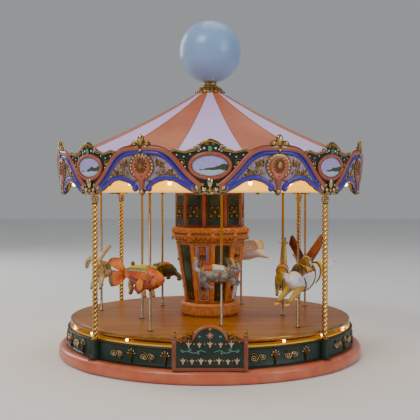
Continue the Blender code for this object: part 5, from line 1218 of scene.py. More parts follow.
# --- Sign ---------------------------------------------------------------------------------------
def make_sign():
    front, back = low("sign_frame", 1), high("sign_frame", 1)
    half = high("sign_frame", 0)
    bottom = low("sign_frame")
    top = high("sign_frame")
    face = low("sign_board", 1)
    board_top = high("sign_board")
    board_low = low("sign_board")

    def place(s, z, d):
        return (s, face - d, z)

    shoulder = bottom + 18.6
    arch_half = 9.7
    side = half - 2.9

    def edge(grow):
        points = [(-side - grow, board_low - 0.2), (side + grow, board_low - 0.2), (side + grow, shoulder + grow)]
        ring = []
        for i in range(25):
            turn = math.pi * i / 24
            ring.append(((arch_half + grow) * math.cos(turn), shoulder + grow + (board_top - shoulder) * math.sin(turn)))
        return points + ring + [(-side - grow, shoulder + grow)]

    board = Piece()
    outline = edge(0.0)
    board.add(skin([[(s, face, z) for s, z in outline], [(s, high("sign_board", 1), z) for s, z in outline]]), GREEN)
    # Painted flourishes in place of words: two bars of leaves and a line of curls.
    for z, count, reach in ((bottom + 16.9, 5, 13.4), (bottom + 6.3, 7, 17.0)):
        for i in range(count):
            s = -reach + 2 * reach * i / (count - 1)
            size = 2.3 if i % 2 else 2.9
            for lean_, length in ((-0.55, size), (0.0, size * 1.15), (0.55, size)):
                leaf_spray(board, place, (s, z - 1.5), lean_, length, 0.95, PAINT_CREAM, 1)
            board.add(bead(s, z - 1.9, 0.55, place, 0.02, 8, 0.4), PAINT_CREAM)
        for i in range(count - 1):
            s = -reach + 2 * reach * (i + 0.5) / (count - 1)
            board.add(bead(s, z - 0.2, 0.5, place, 0.02, 8, 0.4), PAINT_ROSE)
    for way in (-1, 1):
        wave = curve([(way * 2.6, bottom + 11.6), (way * 6.2, bottom + 12.6), (way * 10.0, bottom + 11.0), (way * 14.4, bottom + 12.3), (way * 17.4, bottom + 11.4)], 6)
        board.add(strip(wave, 0.42, 0.12, place, 0.02), PAINT_TEAL)
        for s, z, r in ((7.6, 11.0, 1.1), (12.6, 12.9, 1.1), (17.6, 12.3, 1.0)):
            board.add(strip(spiral((way * s, bottom + z), r, 0.3, 90 - way * 90, way * 1.1, 16), 0.36, 0.12, place, 0.02), PAINT_TEAL)
        for i, turn in enumerate((0.35, 0.0, -0.35)):
            start = (way * 6.0, bottom + 22.3 + 0.0 * i)
            path = [(way * (5.6 + r * math.cos(turn)), bottom + 21.4 + r * math.sin(turn)) for r in (0.0, 0.9, 1.8)]
            board.add(strip(path, 0.34, 0.12, place, 0.02), PAINT_TEAL)
    star = (0.0, bottom + 22.0)
    for i in range(8):
        turn = 2 * math.pi * i / 8
        path = [(star[0] + r * math.cos(turn), star[1] + r * math.sin(turn)) for r in (0.5, 1.5, 2.7 if i % 2 == 0 else 2.0)]
        board.add(strip(path, bud(0.8), 0.14, place, 0.02), PAINT_ROSE)
    board.add(bead(star[0], star[1], 0.6, place, 0.05, 10, 0.4), PAINT_CREAM)
    board.make("sign_panel", "base", ["sign_board"], "sign_paint")

    frame_ = Piece()
    depth = back - front
    mid = (front + back) / 2
    at = lambda s, z, d: (s, mid - d, z)
    # Bottom rail and side posts.
    rail = [(-side - 1.0, bottom + 1.0), (side + 1.0, bottom + 1.0)]
    for z, tall, out in ((bottom + 0.95, 1.9, depth / 2),):
        rows = []
        for s in (-side - 0.4, side + 0.4):
            rows.append([(s, mid - d, z + h) for d, h in ((-out, -0.95), (-out, 0.7), (-out + 0.3, 0.95), (out - 0.4, 0.95), (out - 0.1, 0.6), (out - 0.1, 0.2), (out, 0.0), (out, -0.95))])
        frame_.add(skin(rows), CORAL)
    for way in (-1, 1):
        centre = way * (half - 1.45)
        post = [(1.45, 0.0), (1.45, 17.6), (1.15, 18.2), (1.45, 18.9), (1.5, 20.0), (1.15, 20.6), (0.7, 21.2)]
        rows = []
        for w, z in post:
            c = 0.35
            rows.append([(centre + u * w, mid - v * min(w, depth / 2), bottom + z) for u, v in ((-1, -1 + c), (-1, 1 - c), (-1 + c, 1), (1 - c, 1), (1, 1 - c), (1, -1 + c), (1 - c, -1), (-1 + c, -1))])
        frame_.add(skin(rows), CORAL)
        finial = bottom + 20.6
        for z, r in ((1.3, 1.45), (3.6, 1.15), (5.0, 0.55)):
            frame_.add(ball((centre, mid, finial + z), r, 8, 14), GOLD)
        frame_.add(ball((centre, mid, finial + 0.2), 1.0, 5, 12, (1.2, 1.1, 0.4)), GOLD)
    # Arched top rail with leaf scrolls at the shoulders.
    arc = [((arch_half + 0.8) * math.cos(math.pi * i / 30), shoulder + 0.6 + (board_top - shoulder + 0.2) * math.sin(math.pi * i / 30)) for i in range(31)]
    rows = []
    for i, (s, z) in enumerate(arc):
        a, b = arc[max(i - 1, 0)], arc[min(i + 1, 30)]
        turn = math.atan2(b[1] - a[1], b[0] - a[0])
        row = []
        for k in range(12):
            u = 2 * math.pi * k / 12
            across = 1.05 * math.cos(u)
            row.append((s - across * math.sin(turn), mid - depth / 2 * 0.95 * math.sin(u), z + across * math.cos(turn)))
        rows.append(row)
    frame_.add(skin(rows), CORAL)
    for way in (-1, 1):
        shoulder_rail = [(way * (arch_half + 0.4), shoulder + 0.5), (way * (arch_half + 5.0), shoulder - 0.3 + 0.6), (way * (side + 0.2), shoulder + 0.1)]
        frame_.add(strip(curve(shoulder_rail, 6), 1.5, 1.2, at, 0.0), CORAL)
        for s, z, lean_, length in ((11.0, 0.9, 0.7, 5.2), (13.2, 0.6, 0.9, 5.0), (15.6, 0.2, 1.1, 4.6), (10.2, 2.8, 0.2, 3.4)):
            leaf_spray(frame_, at, (way * s, shoulder + z), way * lean_, length, 1.5, OLD_GOLD, 2)
            leaf_spray(frame_, at, (way * (s + 0.2), shoulder + z + 0.3), way * (lean_ + 0.2), length * 0.8, 0.6, PALE_GOLD, 1)
        volute(frame_, at, (way * 18.4, shoulder - 0.6), 1.8, 90 - way * 90, -way * 1.2, 0.9, OLD_GOLD, GOLD, 0.5)
        volute(frame_, at, (way * 11.0, shoulder + 1.4), 1.4, 90 + way * 60, way * 1.1, 0.8, OLD_GOLD, GOLD, 0.6)
    frame_.add(bead(0, board_top - 0.6, 1.5, at, 0.9), OLD_GOLD)
    for way in (-1, 1):
        leaf_spray(frame_, at, (way * 0.4, board_top - 0.4), way * 1.5, 3.0, 1.2, OLD_GOLD, 2)
    frame_.make("sign_surround", "base", ["sign_frame"], "coral_paint", sharp=45)


PAINT_CREAM = finish("sign_cream", (0.80, 0.52, 0.30), 0.4, vary=0.15, hollow_shade=0.2)
PAINT_ROSE = finish("sign_rose", (0.62, 0.20, 0.16), 0.4, vary=0.15, hollow_shade=0.2)
PAINT_TEAL = finish("sign_teal", (0.12, 0.34, 0.30), 0.4, vary=0.15, hollow_shade=0.2)


# --- Riders: each heads along +X with its pole at x = y = 0, heights from the saddle's level ---------
def along(path, t):
    t = min(max(t, 0.0), 1.0) * (len(path) - 1)
    i = min(int(t), len(path) - 2)
    f = t - i
    return [a + (b - a) * f for a, b in zip(path[i], path[i + 1])]


def fin(root, edge, thick, ribs=6, wave=0.4, n=30, steps=7):
    """A rayed fin, ear or wing between a root line and a free edge of (x, y, z) points."""
    root, edge = curve(root, 6), curve(edge, 8)
    rows = []
    for i in range(n + 1):
        u = i / n
        a, b = along(root, u), along(edge, u)
        ray = 0.4 + 0.6 * abs(math.sin(math.pi * ribs * u)) ** 0.7
        front, back = [], []
        for k in range(steps + 1):
            t = k / steps
            p = [m + (q - m) * t for m, q in zip(a, b)]
            y = p[1] + wave * math.sin(5.0 * u + 2.0 * t) * t
            w = thick * (1 - 0.8 * t) * ray
            front.append((p[0], y - w, p[2]))
            back.append((p[0], y + w, p[2]))
        rows.append(front + back[::-1])
    return skin(rows)


class Creature:
    def __init__(self, stations, sides=24, per=6):
        self.smooth = curve(stations, per)
        self.piece = Piece()
        self.shape = body_loft(stations, sides, per)

    def at(self, x):
        for a, b in zip(self.smooth, self.smooth[1:]):
            if a[0] <= x <= b[0]:
                t = (x - a[0]) / max(b[0] - a[0], 1e-6)
                return [p + (q - p) * t for p, q in zip(a, b)]
        return list(self.smooth[0] if x < self.smooth[0][0] else self.smooth[-1])

    def body(self, paint):
        self.piece.add(self.shape, paint)
        return self

    def cover(self, x0, x1, spread, paint, grow=0.5, scallop=0.0, count=5, centre=90.0, n=24):
        """A cloth or saddle that lies over the body from x0 to x1, spread degrees down each side."""
        rows = []
        for i in range(n + 1):
            u = i / n
            x = x0 + (x1 - x0) * u
            _, y, z, w, h = self.at(x)
            reach = spread + scallop * abs(math.sin(math.pi * count * u))
            thick = grow * min(1.0, 6 * u, 6 * (1 - u)) ** 0.5
            outer, inner = [], []
            for k in range(17):
                a = math.radians(centre - reach + 2 * reach * k / 16)
                lift = thick * (1.0 if 0 < k < 16 else 0.35)
                outer.append((x, y + (w + lift) * math.cos(a), z + (h + lift) * math.sin(a)))
                inner.append((x, y + (w - 0.5) * math.cos(a), z + (h - 0.5) * math.sin(a)))
            rows.append(outer + inner[::-1])
        self.piece.add(skin(rows), paint)
        return self

    def strap(self, x, paint, wide=0.9, lift=0.35, tilt=0.0):
        """A strap all round the body at x."""
        loop = []
        for k in range(32):
            a = 2 * math.pi * k / 32
            _, y, z, w, h = self.at(x + tilt * math.sin(a))
            loop.append((x + tilt * math.sin(a), y + (w + 0.1) * math.cos(a), z + (h + 0.1) * math.sin(a)))
        rows = []
        for k in range(32):
            p = loop[k]
            _, y, z, w, h = self.at(p[0])
            d = math.hypot(p[1] - y, p[2] - z) or 1.0
            out = ((p[1] - y) / d, (p[2] - z) / d)
            rows.append([(p[0] + s * wide / 2, p[1] + out[0] * o, p[2] + out[1] * o) for s, o in ((-1, -0.4), (-1, lift * 0.7), (-0.5, lift), (0.5, lift), (1, lift * 0.7), (1, -0.4))])
        self.piece.add(skin(rows, closed=True), paint)
        return self

    def legs(self, path, radius, paint, foot=None, sides=12, mirror=True):
        """A limb along a path; mirrored to the other side too."""
        ways = (1, -1) if mirror else (1,)
        for way in ways:
            line = [(x, y * way, z) for x, y, z in path]
            self.piece.add(tube(curve(line, 5), radius, sides), paint)
            if foot:
                size, tone = foot
                x, y, z = line[-1]
                self.piece.add(ball((x + 0.3 * size, y, z), size, 6, 12, (1.25, 0.95, 0.75)), tone)
        return self

    def lump(self, centre, size, stretch, paint, mirror=False):
        for way in (1, -1) if mirror else (1,):
            self.piece.add(ball((centre[0], centre[1] * way, centre[2]), size, 9, 16, stretch), paint)
        return self

    def eyes(self, x, y, z, size=0.7, paint=None):
        for way in (1, -1):
            self.piece.add(ball((x, y * way, z), size * 1.35, 6, 12, (1.0, 0.5, 1.0)), EYE_WHITE if paint is None else paint)
            self.piece.add(ball((x + 0.1, (y + 0.45 * size) * way, z + 0.05), size * 0.8, 6, 12, (1.0, 0.6, 1.0)), EYE_DARK)
        return self

    def fins(self, root, edge, thick, paint, mirror=False, **more):
        for way in (1, -1) if mirror else (1,):
            self.piece.add(fin([(x, y * way, z) for x, y, z in root], [(x, y * way, z) for x, y, z in edge], thick, **more), paint)
        return self

    def saddle(self, x0, x1, paint, trim, horn=2.6):
        """A carved seat with a raised front and back and a rolled rim."""
        self.cover(x0, x1, 52, paint, 0.9)
        for x in (x0 + 0.6, x1 - 0.6):
            _, y, z, w, h = self.at(x)
            arc = [(x + (0.6 if x == x1 - 0.6 else -0.6) * math.sin(a), y + w * 0.75 * math.cos(a), z + h * 0.72 + horn * math.sin(a)) for a in [math.pi * k / 12 for k in range(13)]]
            self.piece.add(tube(arc, 0.75, 10), trim)
        return self


def coat(name, colour, second, rough=0.42, scale=150.0, bump=0.35, grain=500.0, gloss=0.15, blend=(0.42, 0.62), vary=0.14):
    return finish(name, colour, rough, vary=vary, scale=scale, bump=bump, grain=grain, coat=gloss, second=second, blend=blend, hollow_shade=0.7, edge=0.15)


def scales(name, colour, second, size=480.0):
    """A coat of small overlapping scales."""
    paint = coat(name, colour, second, scale=120.0)
    nodes = paint.node_tree.nodes
    links = paint.node_tree.links
    cells = nodes.new("ShaderNodeTexVoronoi")
    cells.inputs["Scale"].default_value = size
    where = nodes.new("ShaderNodeTexCoord")
    links.new(where.outputs["Object"], cells.inputs["Vector"])
    relief = nodes.new("ShaderNodeBump")
    relief.inputs["Strength"].default_value = 0.55
    relief.inputs["Distance"].default_value = 0.0005
    links.new(cells.outputs["Distance"], relief.inputs["Height"])
    shader = nodes["Principled BSDF"]
    links.new(shader.inputs["Normal"].links[0].from_socket, relief.inputs["Normal"])
    links.new(relief.outputs["Normal"], shader.inputs["Normal"])
    return paint


EYE_WHITE = finish("eye_white", (0.85, 0.82, 0.75), 0.15, vary=0.04, coat=1.0, hollow_shade=0.0)
EYE_DARK = finish("eye_dark", (0.015, 0.012, 0.01), 0.1, vary=0.2, coat=1.0, hollow_shade=0.0)
FISH = scales("goldfish_scales", (0.60, 0.060, 0.010), (0.78, 0.19, 0.02))
FISH_RED = scales("goldfish_belly", (0.30, 0.014, 0.006), (0.44, 0.04, 0.01))
FISH_FIN = coat("goldfish_fins", (0.84, 0.28, 0.02), (0.74, 0.12, 0.012))
LIME = coat("lime_cloth", (0.36, 0.38, 0.02), (0.52, 0.47, 0.05))
IVORY = coat("ivory_paint", (0.78, 0.66, 0.40), (0.66, 0.52, 0.28))
WHITE = finish("white_feather", (0.90, 0.88, 0.88), 0.4, vary=0.05, scale=120.0, bump=0.35, grain=500.0, coat=0.2, second=(0.80, 0.76, 0.86), hollow_shade=0.4)
GREY = coat("grey_fur", (0.20, 0.165, 0.14), (0.42, 0.36, 0.31), scale=420.0, vary=0.35, blend=(0.48, 0.56))
PALE_GREY = coat("pale_grey_fur", (0.58, 0.54, 0.52), (0.42, 0.39, 0.38), scale=420.0, vary=0.2)
OLIVE = coat("olive_paint", (0.07, 0.06, 0.012), (0.14, 0.12, 0.03))
LAVENDER = coat("lavender_paint", (0.40, 0.30, 0.62), (0.54, 0.44, 0.70))
SKY = coat("sky_cloth", (0.62, 0.78, 0.82), (0.78, 0.86, 0.86))
RED_CLOTH = coat("red_cloth", (0.50, 0.06, 0.02), (0.60, 0.14, 0.04))
BROWN = coat("brown_strap", (0.16, 0.07, 0.03), (0.24, 0.11, 0.05), scale=300.0)
PINK = coat("pink_skin", (0.70, 0.36, 0.34), (0.62, 0.28, 0.27))
YELLOW = coat("yellow_paint", (0.72, 0.40, 0.03), (0.76, 0.50, 0.08))
CREAM_FUR = coat("cream_fur", (0.84, 0.76, 0.48), (0.72, 0.64, 0.34), scale=380.0)
GREEN_CLOTH = coat("green_cloth", (0.06, 0.26, 0.10), (0.10, 0.34, 0.14))
RUST = coat("rust_feather", (0.20, 0.026, 0.010), (0.32, 0.06, 0.02), scale=200.0)
TAN = coat("tan_fur", (0.56, 0.28, 0.07), (0.66, 0.38, 0.12), scale=380.0)
MANE = coat("mane", (0.34, 0.13, 0.03), (0.44, 0.19, 0.05), scale=300.0, bump=0.9, grain=260.0)
PATCH = coat("giraffe_hide", (0.60, 0.50, 0.05), (0.36, 0.22, 0.03), scale=130.0, blend=(0.54, 0.58))
PARROT_ORANGE = coat("parrot_orange", (0.78, 0.30, 0.04), (0.82, 0.42, 0.08))
PARROT_GREEN = coat("parrot_green", (0.10, 0.34, 0.10), (0.20, 0.44, 0.12))
SHELL = coat("tortoise_shell", (0.16, 0.17, 0.07), (0.30, 0.26, 0.10), scale=160.0, blend=(0.5, 0.55))
SKIN_GREEN = scales("tortoise_skin", (0.28, 0.33, 0.18), (0.36, 0.40, 0.24), 620.0)


def goldfish():
    c = Creature([(-21, 0, 2.4, 0.7, 2.2), (-17, 0, 1.9, 2.0, 3.8), (-12, 0, 1.1, 4.0, 5.8), (-6, 0, 0, 5.3, 7.4), (0, 0, -0.4, 5.6, 7.7), (5, 0, -0.7, 4.9, 6.2), (8.5, 0, -0.9, 3.2, 4.0), (10.6, 0, -0.9, 1.6, 1.9), (11.3, 0, -0.9, 0.5, 0.6)]).body(FISH)
    c.cover(-15, 7.5, 84, FISH_RED, 0.25, centre=270.0)
    for i in range(16):
        x = -13 + 1.25 * i
        _, _, z, w, h = c.at(x)
        for turn in (205 + 7 * (i % 3), 225 + 6 * (i % 2)):
            a = math.radians(turn)
            for way in (1, -1):
                c.lump((x, way * (w + 0.1) * math.cos(a), z + (h + 0.1) * math.sin(a)), 0.42, (1, 1, 1), FISH_FIN)
    c.lump((5.0, 3.4, -2.2), 2.6, (1.1, 0.75, 1.0), FISH_FIN, True)
    gill = [(1.6 - 0.5 * (z / 4.0) ** 2, z) for z in (-4.6, -2.5, 0.0, 2.5, 4.4)]
    for way in (1, -1):
        path = [(gx, way * (c.at(gx)[3] - 0.1) * math.sqrt(max(0.05, 1 - ((gz - c.at(gx)[2]) / c.at(gx)[4]) ** 2)), gz) for gx, gz in gill]
        c.piece.add(tube(curve(path, 4), bud(1.0), 8), FISH_FIN)
    c.eyes(5.0, 4.35, 1.2, 0.75, RED_ENAMEL)
    c.piece.add(tube(curve([(9.6, 1.5, -1.4), (10.8, 0.9, -1.6), (11.3, 0, -1.7), (10.8, -0.9, -1.6), (9.6, -1.5, -1.4)], 4), 0.4, 8), FISH_RED)
    c.cover(-19.0, -0.8, 42, LIME, 1.1, 8.0, 6)
    c.cover(-18.8, -1.0, 50, IVORY, 0.45, 8.0, 6)
    for i in range(14):
        x = -18.2 + 1.28 * i
        _, _, z, w, h = c.at(x)
        a = math.radians(90 - 50 - 8.0 * abs(math.sin(math.pi * 6 * (x + 18.8) / 17.8)))
        c.lump((x, (w + 0.4) * math.cos(a), z + (h + 0.4) * math.sin(a)), 0.5, (1, 1, 1), IVORY, True)
    c.fins([(-19.5, 0, 4.6), (-20.0, 0, 3.2), (-19.5, 0, 2.2)], [(-25, 0, 12.4), (-30.5, 0, 12.2), (-33, 0, 8.6), (-28, 0, 4.4)], 1.5, FISH_FIN, ribs=7, wave=1.3)
    c.fins([(-19.5, 0, 2.6), (-20.0, 0, 1.4), (-19.0, 0, 0.4)], [(-29, 0, 4.0), (-32, 0, -1.4), (-30, 0, -7.4), (-23.0, 0, -5.4)], 1.4, FISH_FIN, ribs=7, wave=-1.2)
    c.fins([(-4.4, 5.0, 0.6), (-3.0, 5.3, 0.0), (-1.6, 5.2, -0.8)], [(-7.2, 6.8, -3.4), (-5.0, 6.8, -8.6), (-2.2, 6.0, -7.0)], 0.7, FISH_FIN, True, ribs=4)
    c.fins([(-11, 0, -4.4), (-8, 0, -5.6), (-4, 0, -6.6)], [(-13.5, 0, -8.0), (-9.4, 0, -10.8), (-5.6, 0, -9.4)], 0.9, FISH_RED, ribs=6)
    for i in range(5):
        c.lump((0.6 + 1.0 * i, 0.0, 7.6 - 0.25 * i), 1.1, (1, 1, 1), IVORY if i % 2 else LIME)
    return c


def grey_cat():
    c = Creature([(-16.5, 0, 0.8, 0.8, 1.0), (-14.8, 0, 0.7, 3.0, 3.8), (-11.5, 0, 0.4, 4.3, 5.4), (-6, 0, 0.0, 4.4, 5.7), (-1, 0, -0.2, 4.1, 5.2), (4, 0, -0.1, 4.1, 5.3), (7, 0, 1.2, 3.9, 5.0), (9.4, 0, 3.2, 3.2, 3.8), (10.6, 0, 3.8, 1.2, 1.6)]).body(GREY)
    c.lump((8.8, 0, 4.4), 4.5, (1.05, 0.92, 0.92), PALE_GREY)
    c.lump((8.2, 0, 7.2), 2.6, (1.2, 0.9, 0.7), LAVENDER)
    c.lump((12.0, 0, 3.0), 2.2, (1.15, 0.9, 0.75), PALE_GREY)
    c.lump((13.9, 0, 3.8), 0.75, (1, 1.2, 0.8), PINK)
    c.lump((12.6, 1.1, 2.6), 1.15, (1, 1, 0.8), PALE_GREY, True)
    c.eyes(11.0, 2.9, 5.4, 0.6)
    c.fins([(3.8, 2.8, 6.6), (5.2, 2.2, 7.8), (6.6, 2.6, 7.2)], [(2.6, 4.2, 10.0), (3.8, 3.9, 11.6), (6.4, 3.4, 9.8)], 1.0, OLIVE, True, ribs=1, wave=0.1)
    c.fins([(5.6, 2.4, 7.2), (6.6, 2.0, 8.0), (7.6, 2.2, 7.6)], [(6.2, 3.6, 10.4), (7.4, 3.4, 11.2), (8.6, 2.8, 9.6)], 0.8, YELLOW, True, ribs=1, wave=0.1)
    c.cover(-13.2, -6.6, 56, RED_CLOTH, 0.6, 9.0, 3)
    c.cover(-7.3, 2.2, 58, SKY, 1.5, 9.0, 2)
    c.cover(-7.6, 2.5, 68, IVORY, 0.5, 8.0, 2)
    c.saddle(-6.6, 1.6, SKY, SKY, 1.9)
    c.strap(-2.2, BROWN, 0.8)
    c.strap(4.6, BROWN, 0.8, tilt=1.6)
    for i in range(7):
        _, y, z, w, h = c.at(4.6)
        a = math.radians(215 + 18 * i)
        c.lump((4.8, (w + 0.6) * math.cos(a), z + (h + 0.6) * math.sin(a)), 0.45, (1, 1, 1), YELLOW)
    for way in (1, -1):
        c.piece.add(tube(curve([(12.2, way * 2.0, 3.8), (9.8, way * 3.9, 4.4), (6.6, way * 4.1, 5.2)], 5), 0.4, 8), BROWN)
        c.piece.add(tube(curve([(10.8, way * 1.6, 1.4), (10.6, way * 3.4, 3.8), (9.8, way * 2.8, 7.8), (9.5, 0, 8.9)], 5), 0.4, 8), BROWN)
    c.piece.add(tube(curve([(-14.8, 0, 2.0), (-17.4, 0, 3.0), (-18.8, 0, 6.0), (-18.0, 0, 9.0), (-18.8, 0, 10.8)], 6), tail(2.0, 1.3), 12), PALE_GREY)
    c.lump((-18.8, 0, 11.0), 1.5, (1, 1, 1.1), YELLOW)
    c.legs([(-11.5, 2.6, -1.5), (-13.2, 3.0, -5.0), (-11.0, 3.1, -7.8), (-8.6, 3.2, -9.0)], tail(2.9, 1.4), GREY, (1.7, PALE_GREY))
    c.legs([(5.5, 2.4, -2.0), (8.4, 2.9, -4.8), (10.6, 3.0, -4.6), (12.4, 3.1, -6.0)], tail(2.1, 1.1), GREY, (1.45, PALE_GREY), mirror=False)
    c.legs([(5.5, -2.4, -2.0), (7.8, -2.9, -6.2), (9.4, -3.0, -5.6), (10.0, -3.0, -7.0)], tail(2.1, 1.1), GREY, (1.45, PALE_GREY), mirror=False)
    c.legs([(7.4, -2.2, -3.0), (9.0, -2.9, -8.0), (8.2, -3.0, -13.0), (7.4, -3.0, -16.6)], tail(1.6, 0.8), PALE_GREY, (1.2, PALE_GREY), mirror=False)
    return c


def white_goose():
    c = Creature([(-11, 0, 0.6, 0.6, 0.8), (-9, 0, -0.4, 3.0, 3.0), (-4, 0, -1.5, 6.3, 6.9), (3, 0, -0.9, 7.8, 8.4), (10, 0, 0.4, 7.4, 8.0), (16, 0, 2.4, 6.0, 6.6), (21, 0, 4.6, 4.9, 5.3), (28, 0, 7.4, 4.6, 4.9), (34, 0, 8.4, 4.3, 4.5), (38, 0, 8.2, 3.4, 3.5), (40.4, 0, 7.8, 1.4, 1.5)]).body(WHITE)
    c.piece.add(tube(curve([(37.0, 0, 8.2), (41, 0, 7.8), (44.0, 0, 7.4)], 4), tail(3.0, 0.9), 12, 0.8), WHITE)
    c.eyes(35.6, 4.1, 9.6, 0.6)
    for x in (29.6, 32.6):
        c.lump((x, 0, 12.4), 1.0, (1, 1, 1), WHITE)
    c.strap(19.4, YELLOW, 3.0, 0.7, 1.6)
    c.strap(17.2, OLIVE, 0.6, 0.8, 1.6)
    c.strap(9.0, OLIVE, 1.0, 0.4, 4.0)
    c.strap(-1.0, OLIVE, 1.0, 0.4, -3.0)
    c.lump((-0.6, 0, 6.0), 3.6, (1.1, 1.1, 0.9), OLIVE)
    c.lump((-1.4, 3.4, 2.4), 2.6, (0.9, 0.9, 1.5), OLIVE, True)
    c.cover(-3.0, 11.4, 52, RED_CLOTH, 0.5, 6.0, 4)
    c.saddle(1.0, 9.4, YELLOW, GOLD, 4.6)
    rim = [(7.6 + 1.6 * math.sin(math.pi * k / 12), 4.6 * math.cos(math.pi * k / 12), 7.6 + 6.6 * math.sin(math.pi * k / 12)) for k in range(13)]
    c.piece.add(tube(rim, 1.0, 10), STEEL)
    back = [[(6.8 + 0.8 * d, y * s, 7.2 + z) for y, z in ((4.2, 0), (4.4, 2.6), (3.2, 5.0), (1.2, 6.2), (-1.2, 6.2), (-3.2, 5.0), (-4.4, 2.6), (-4.2, 0))] for d, s in ((-1.4, 0.9), (-1.0, 1.0), (1.0, 1.0), (1.4, 0.9))]
    c.piece.add(skin(back), YELLOW)
    c.fins([(9, 6.2, 2.4), (6, 7.0, 1.0), (3, 6.8, -1.6)], [(0, 7.8, 2.4), (-6.0, 6.2, 0.8), (-4.0, 6.0, -3.0)], 1.1, WHITE, True, ribs=6, wave=0.3)
    c.fins([(-7, 0, 1.8), (-8, 0, 0.0), (-7, 0, -1.8)], [(-13.5, 0, 5.0), (-15.5, 0, 2.0), (-12.5, 0, -1.6)], 1.8, WHITE, ribs=5, wave=0.4)
    c.legs([(-1, 3.8, -5.5), (-6, 4.4, -8.0), (-11.0, 4.6, -11.6), (-15.4, 4.7, -14.6)], tail(2.8, 1.5), YELLOW, (2.0, YELLOW))
    for way in (1, -1):
        c.piece.add(fin([(-14.4, 4.0 * way, -14.8), (-14.6, 4.7 * way, -14.2), (-14.4, 5.4 * way, -14.8)], [(-17.6, 2.6 * way, -16.4), (-19.2, 4.7 * way, -17.0), (-17.6, 6.6 * way, -16.4)], 0.6, ribs=3, wave=0.0, n=12), YELLOW)
    return c


def rabbit():
    c = Creature([(-16.5, 0, -1, 0.8, 1.0), (-14.5, 0, -0.8, 3.6, 3.9), (-9, 0, 0.4, 5.5, 6.4), (-2, 0, 0.1, 5.3, 6.0), (4, 0, 0.8, 4.6, 5.2), (8, 0, 3.0, 3.9, 4.6), (11, 0, 5.4, 3.2, 3.8), (12.4, 0, 5.8, 1.2, 1.6)]).body(CREAM_FUR)
    c.lump((12.0, 0, 6.4), 4.2, (1.1, 0.88, 0.95), CREAM_FUR)
    c.lump((15.6, 0, 5.0), 2.2, (1.15, 0.95, 0.8), WHITE)
    c.lump((17.6, 0, 5.8), 0.7, (1, 1.2, 0.8), PINK)
    c.eyes(14.0, 3.0, 7.4, 0.75)
    # One ear stands, the other has flopped outward.
    for path in ([(10.4, 1.8, 8.6), (8.0, 3.4, 13.6), (5.0, 6.2, 18.0), (3.2, 8.6, 20.6)], [(10.4, -2.0, 8.8), (9.0, -5.4, 11.0), (8.0, -8.6, 8.0), (7.6, -9.6, 3.0)]):
        c.piece.add(tube(curve(path, 6), lambda t: 1.1 + 1.3 * math.sin(math.pi * min(1, 0.15 + 0.8 * t)), 14, 0.7), CREAM_FUR)
        c.piece.add(tube(curve([(x + 0.9, y, z) for x, y, z in path[1:]], 6), lambda t: 0.4 + 0.8 * math.sin(math.pi * t), 10, 0.6), PINK)
    c.cover(-9.0, 3.4, 70, GREEN_CLOTH, 0.7, 6.0, 5)
    c.cover(-8.6, 3.0, 78, IVORY, 0.35, 6.0, 5)
    c.saddle(-6.6, 1.8, RED_CLOTH, YELLOW, 1.8)
    for i in range(9):
        x = -7.8 + 1.2 * i
        _, _, z, w, h = c.at(x)
        a = math.radians(42 + 10 * (i % 2))
        c.lump((x, (w + 0.8) * math.cos(a), z + (h + 0.8) * math.sin(a)), 0.5, (1, 1, 1), RED_CLOTH, True)
    c.strap(6.2, BROWN, 0.8, 0.4, 1.4)
    c.lump((-17.0, 0, 1.0), 2.4, (1, 1, 1), WHITE)
    c.legs([(-9, 3.2, -1.5), (-12.5, 4.4, -4.6), (-11.0, 4.6, -9.4), (-14.6, 4.6, -12.4)], tail(3.4, 1.4), CREAM_FUR, (1.9, LAVENDER))
    c.legs([(6.5, 2.2, -0.5), (9.0, 3.2, -5.0), (12.6, 3.4, -8.4), (13.4, 3.4, -11.6)], tail(2.2, 1.2), CREAM_FUR, (1.5, LAVENDER))
    return c


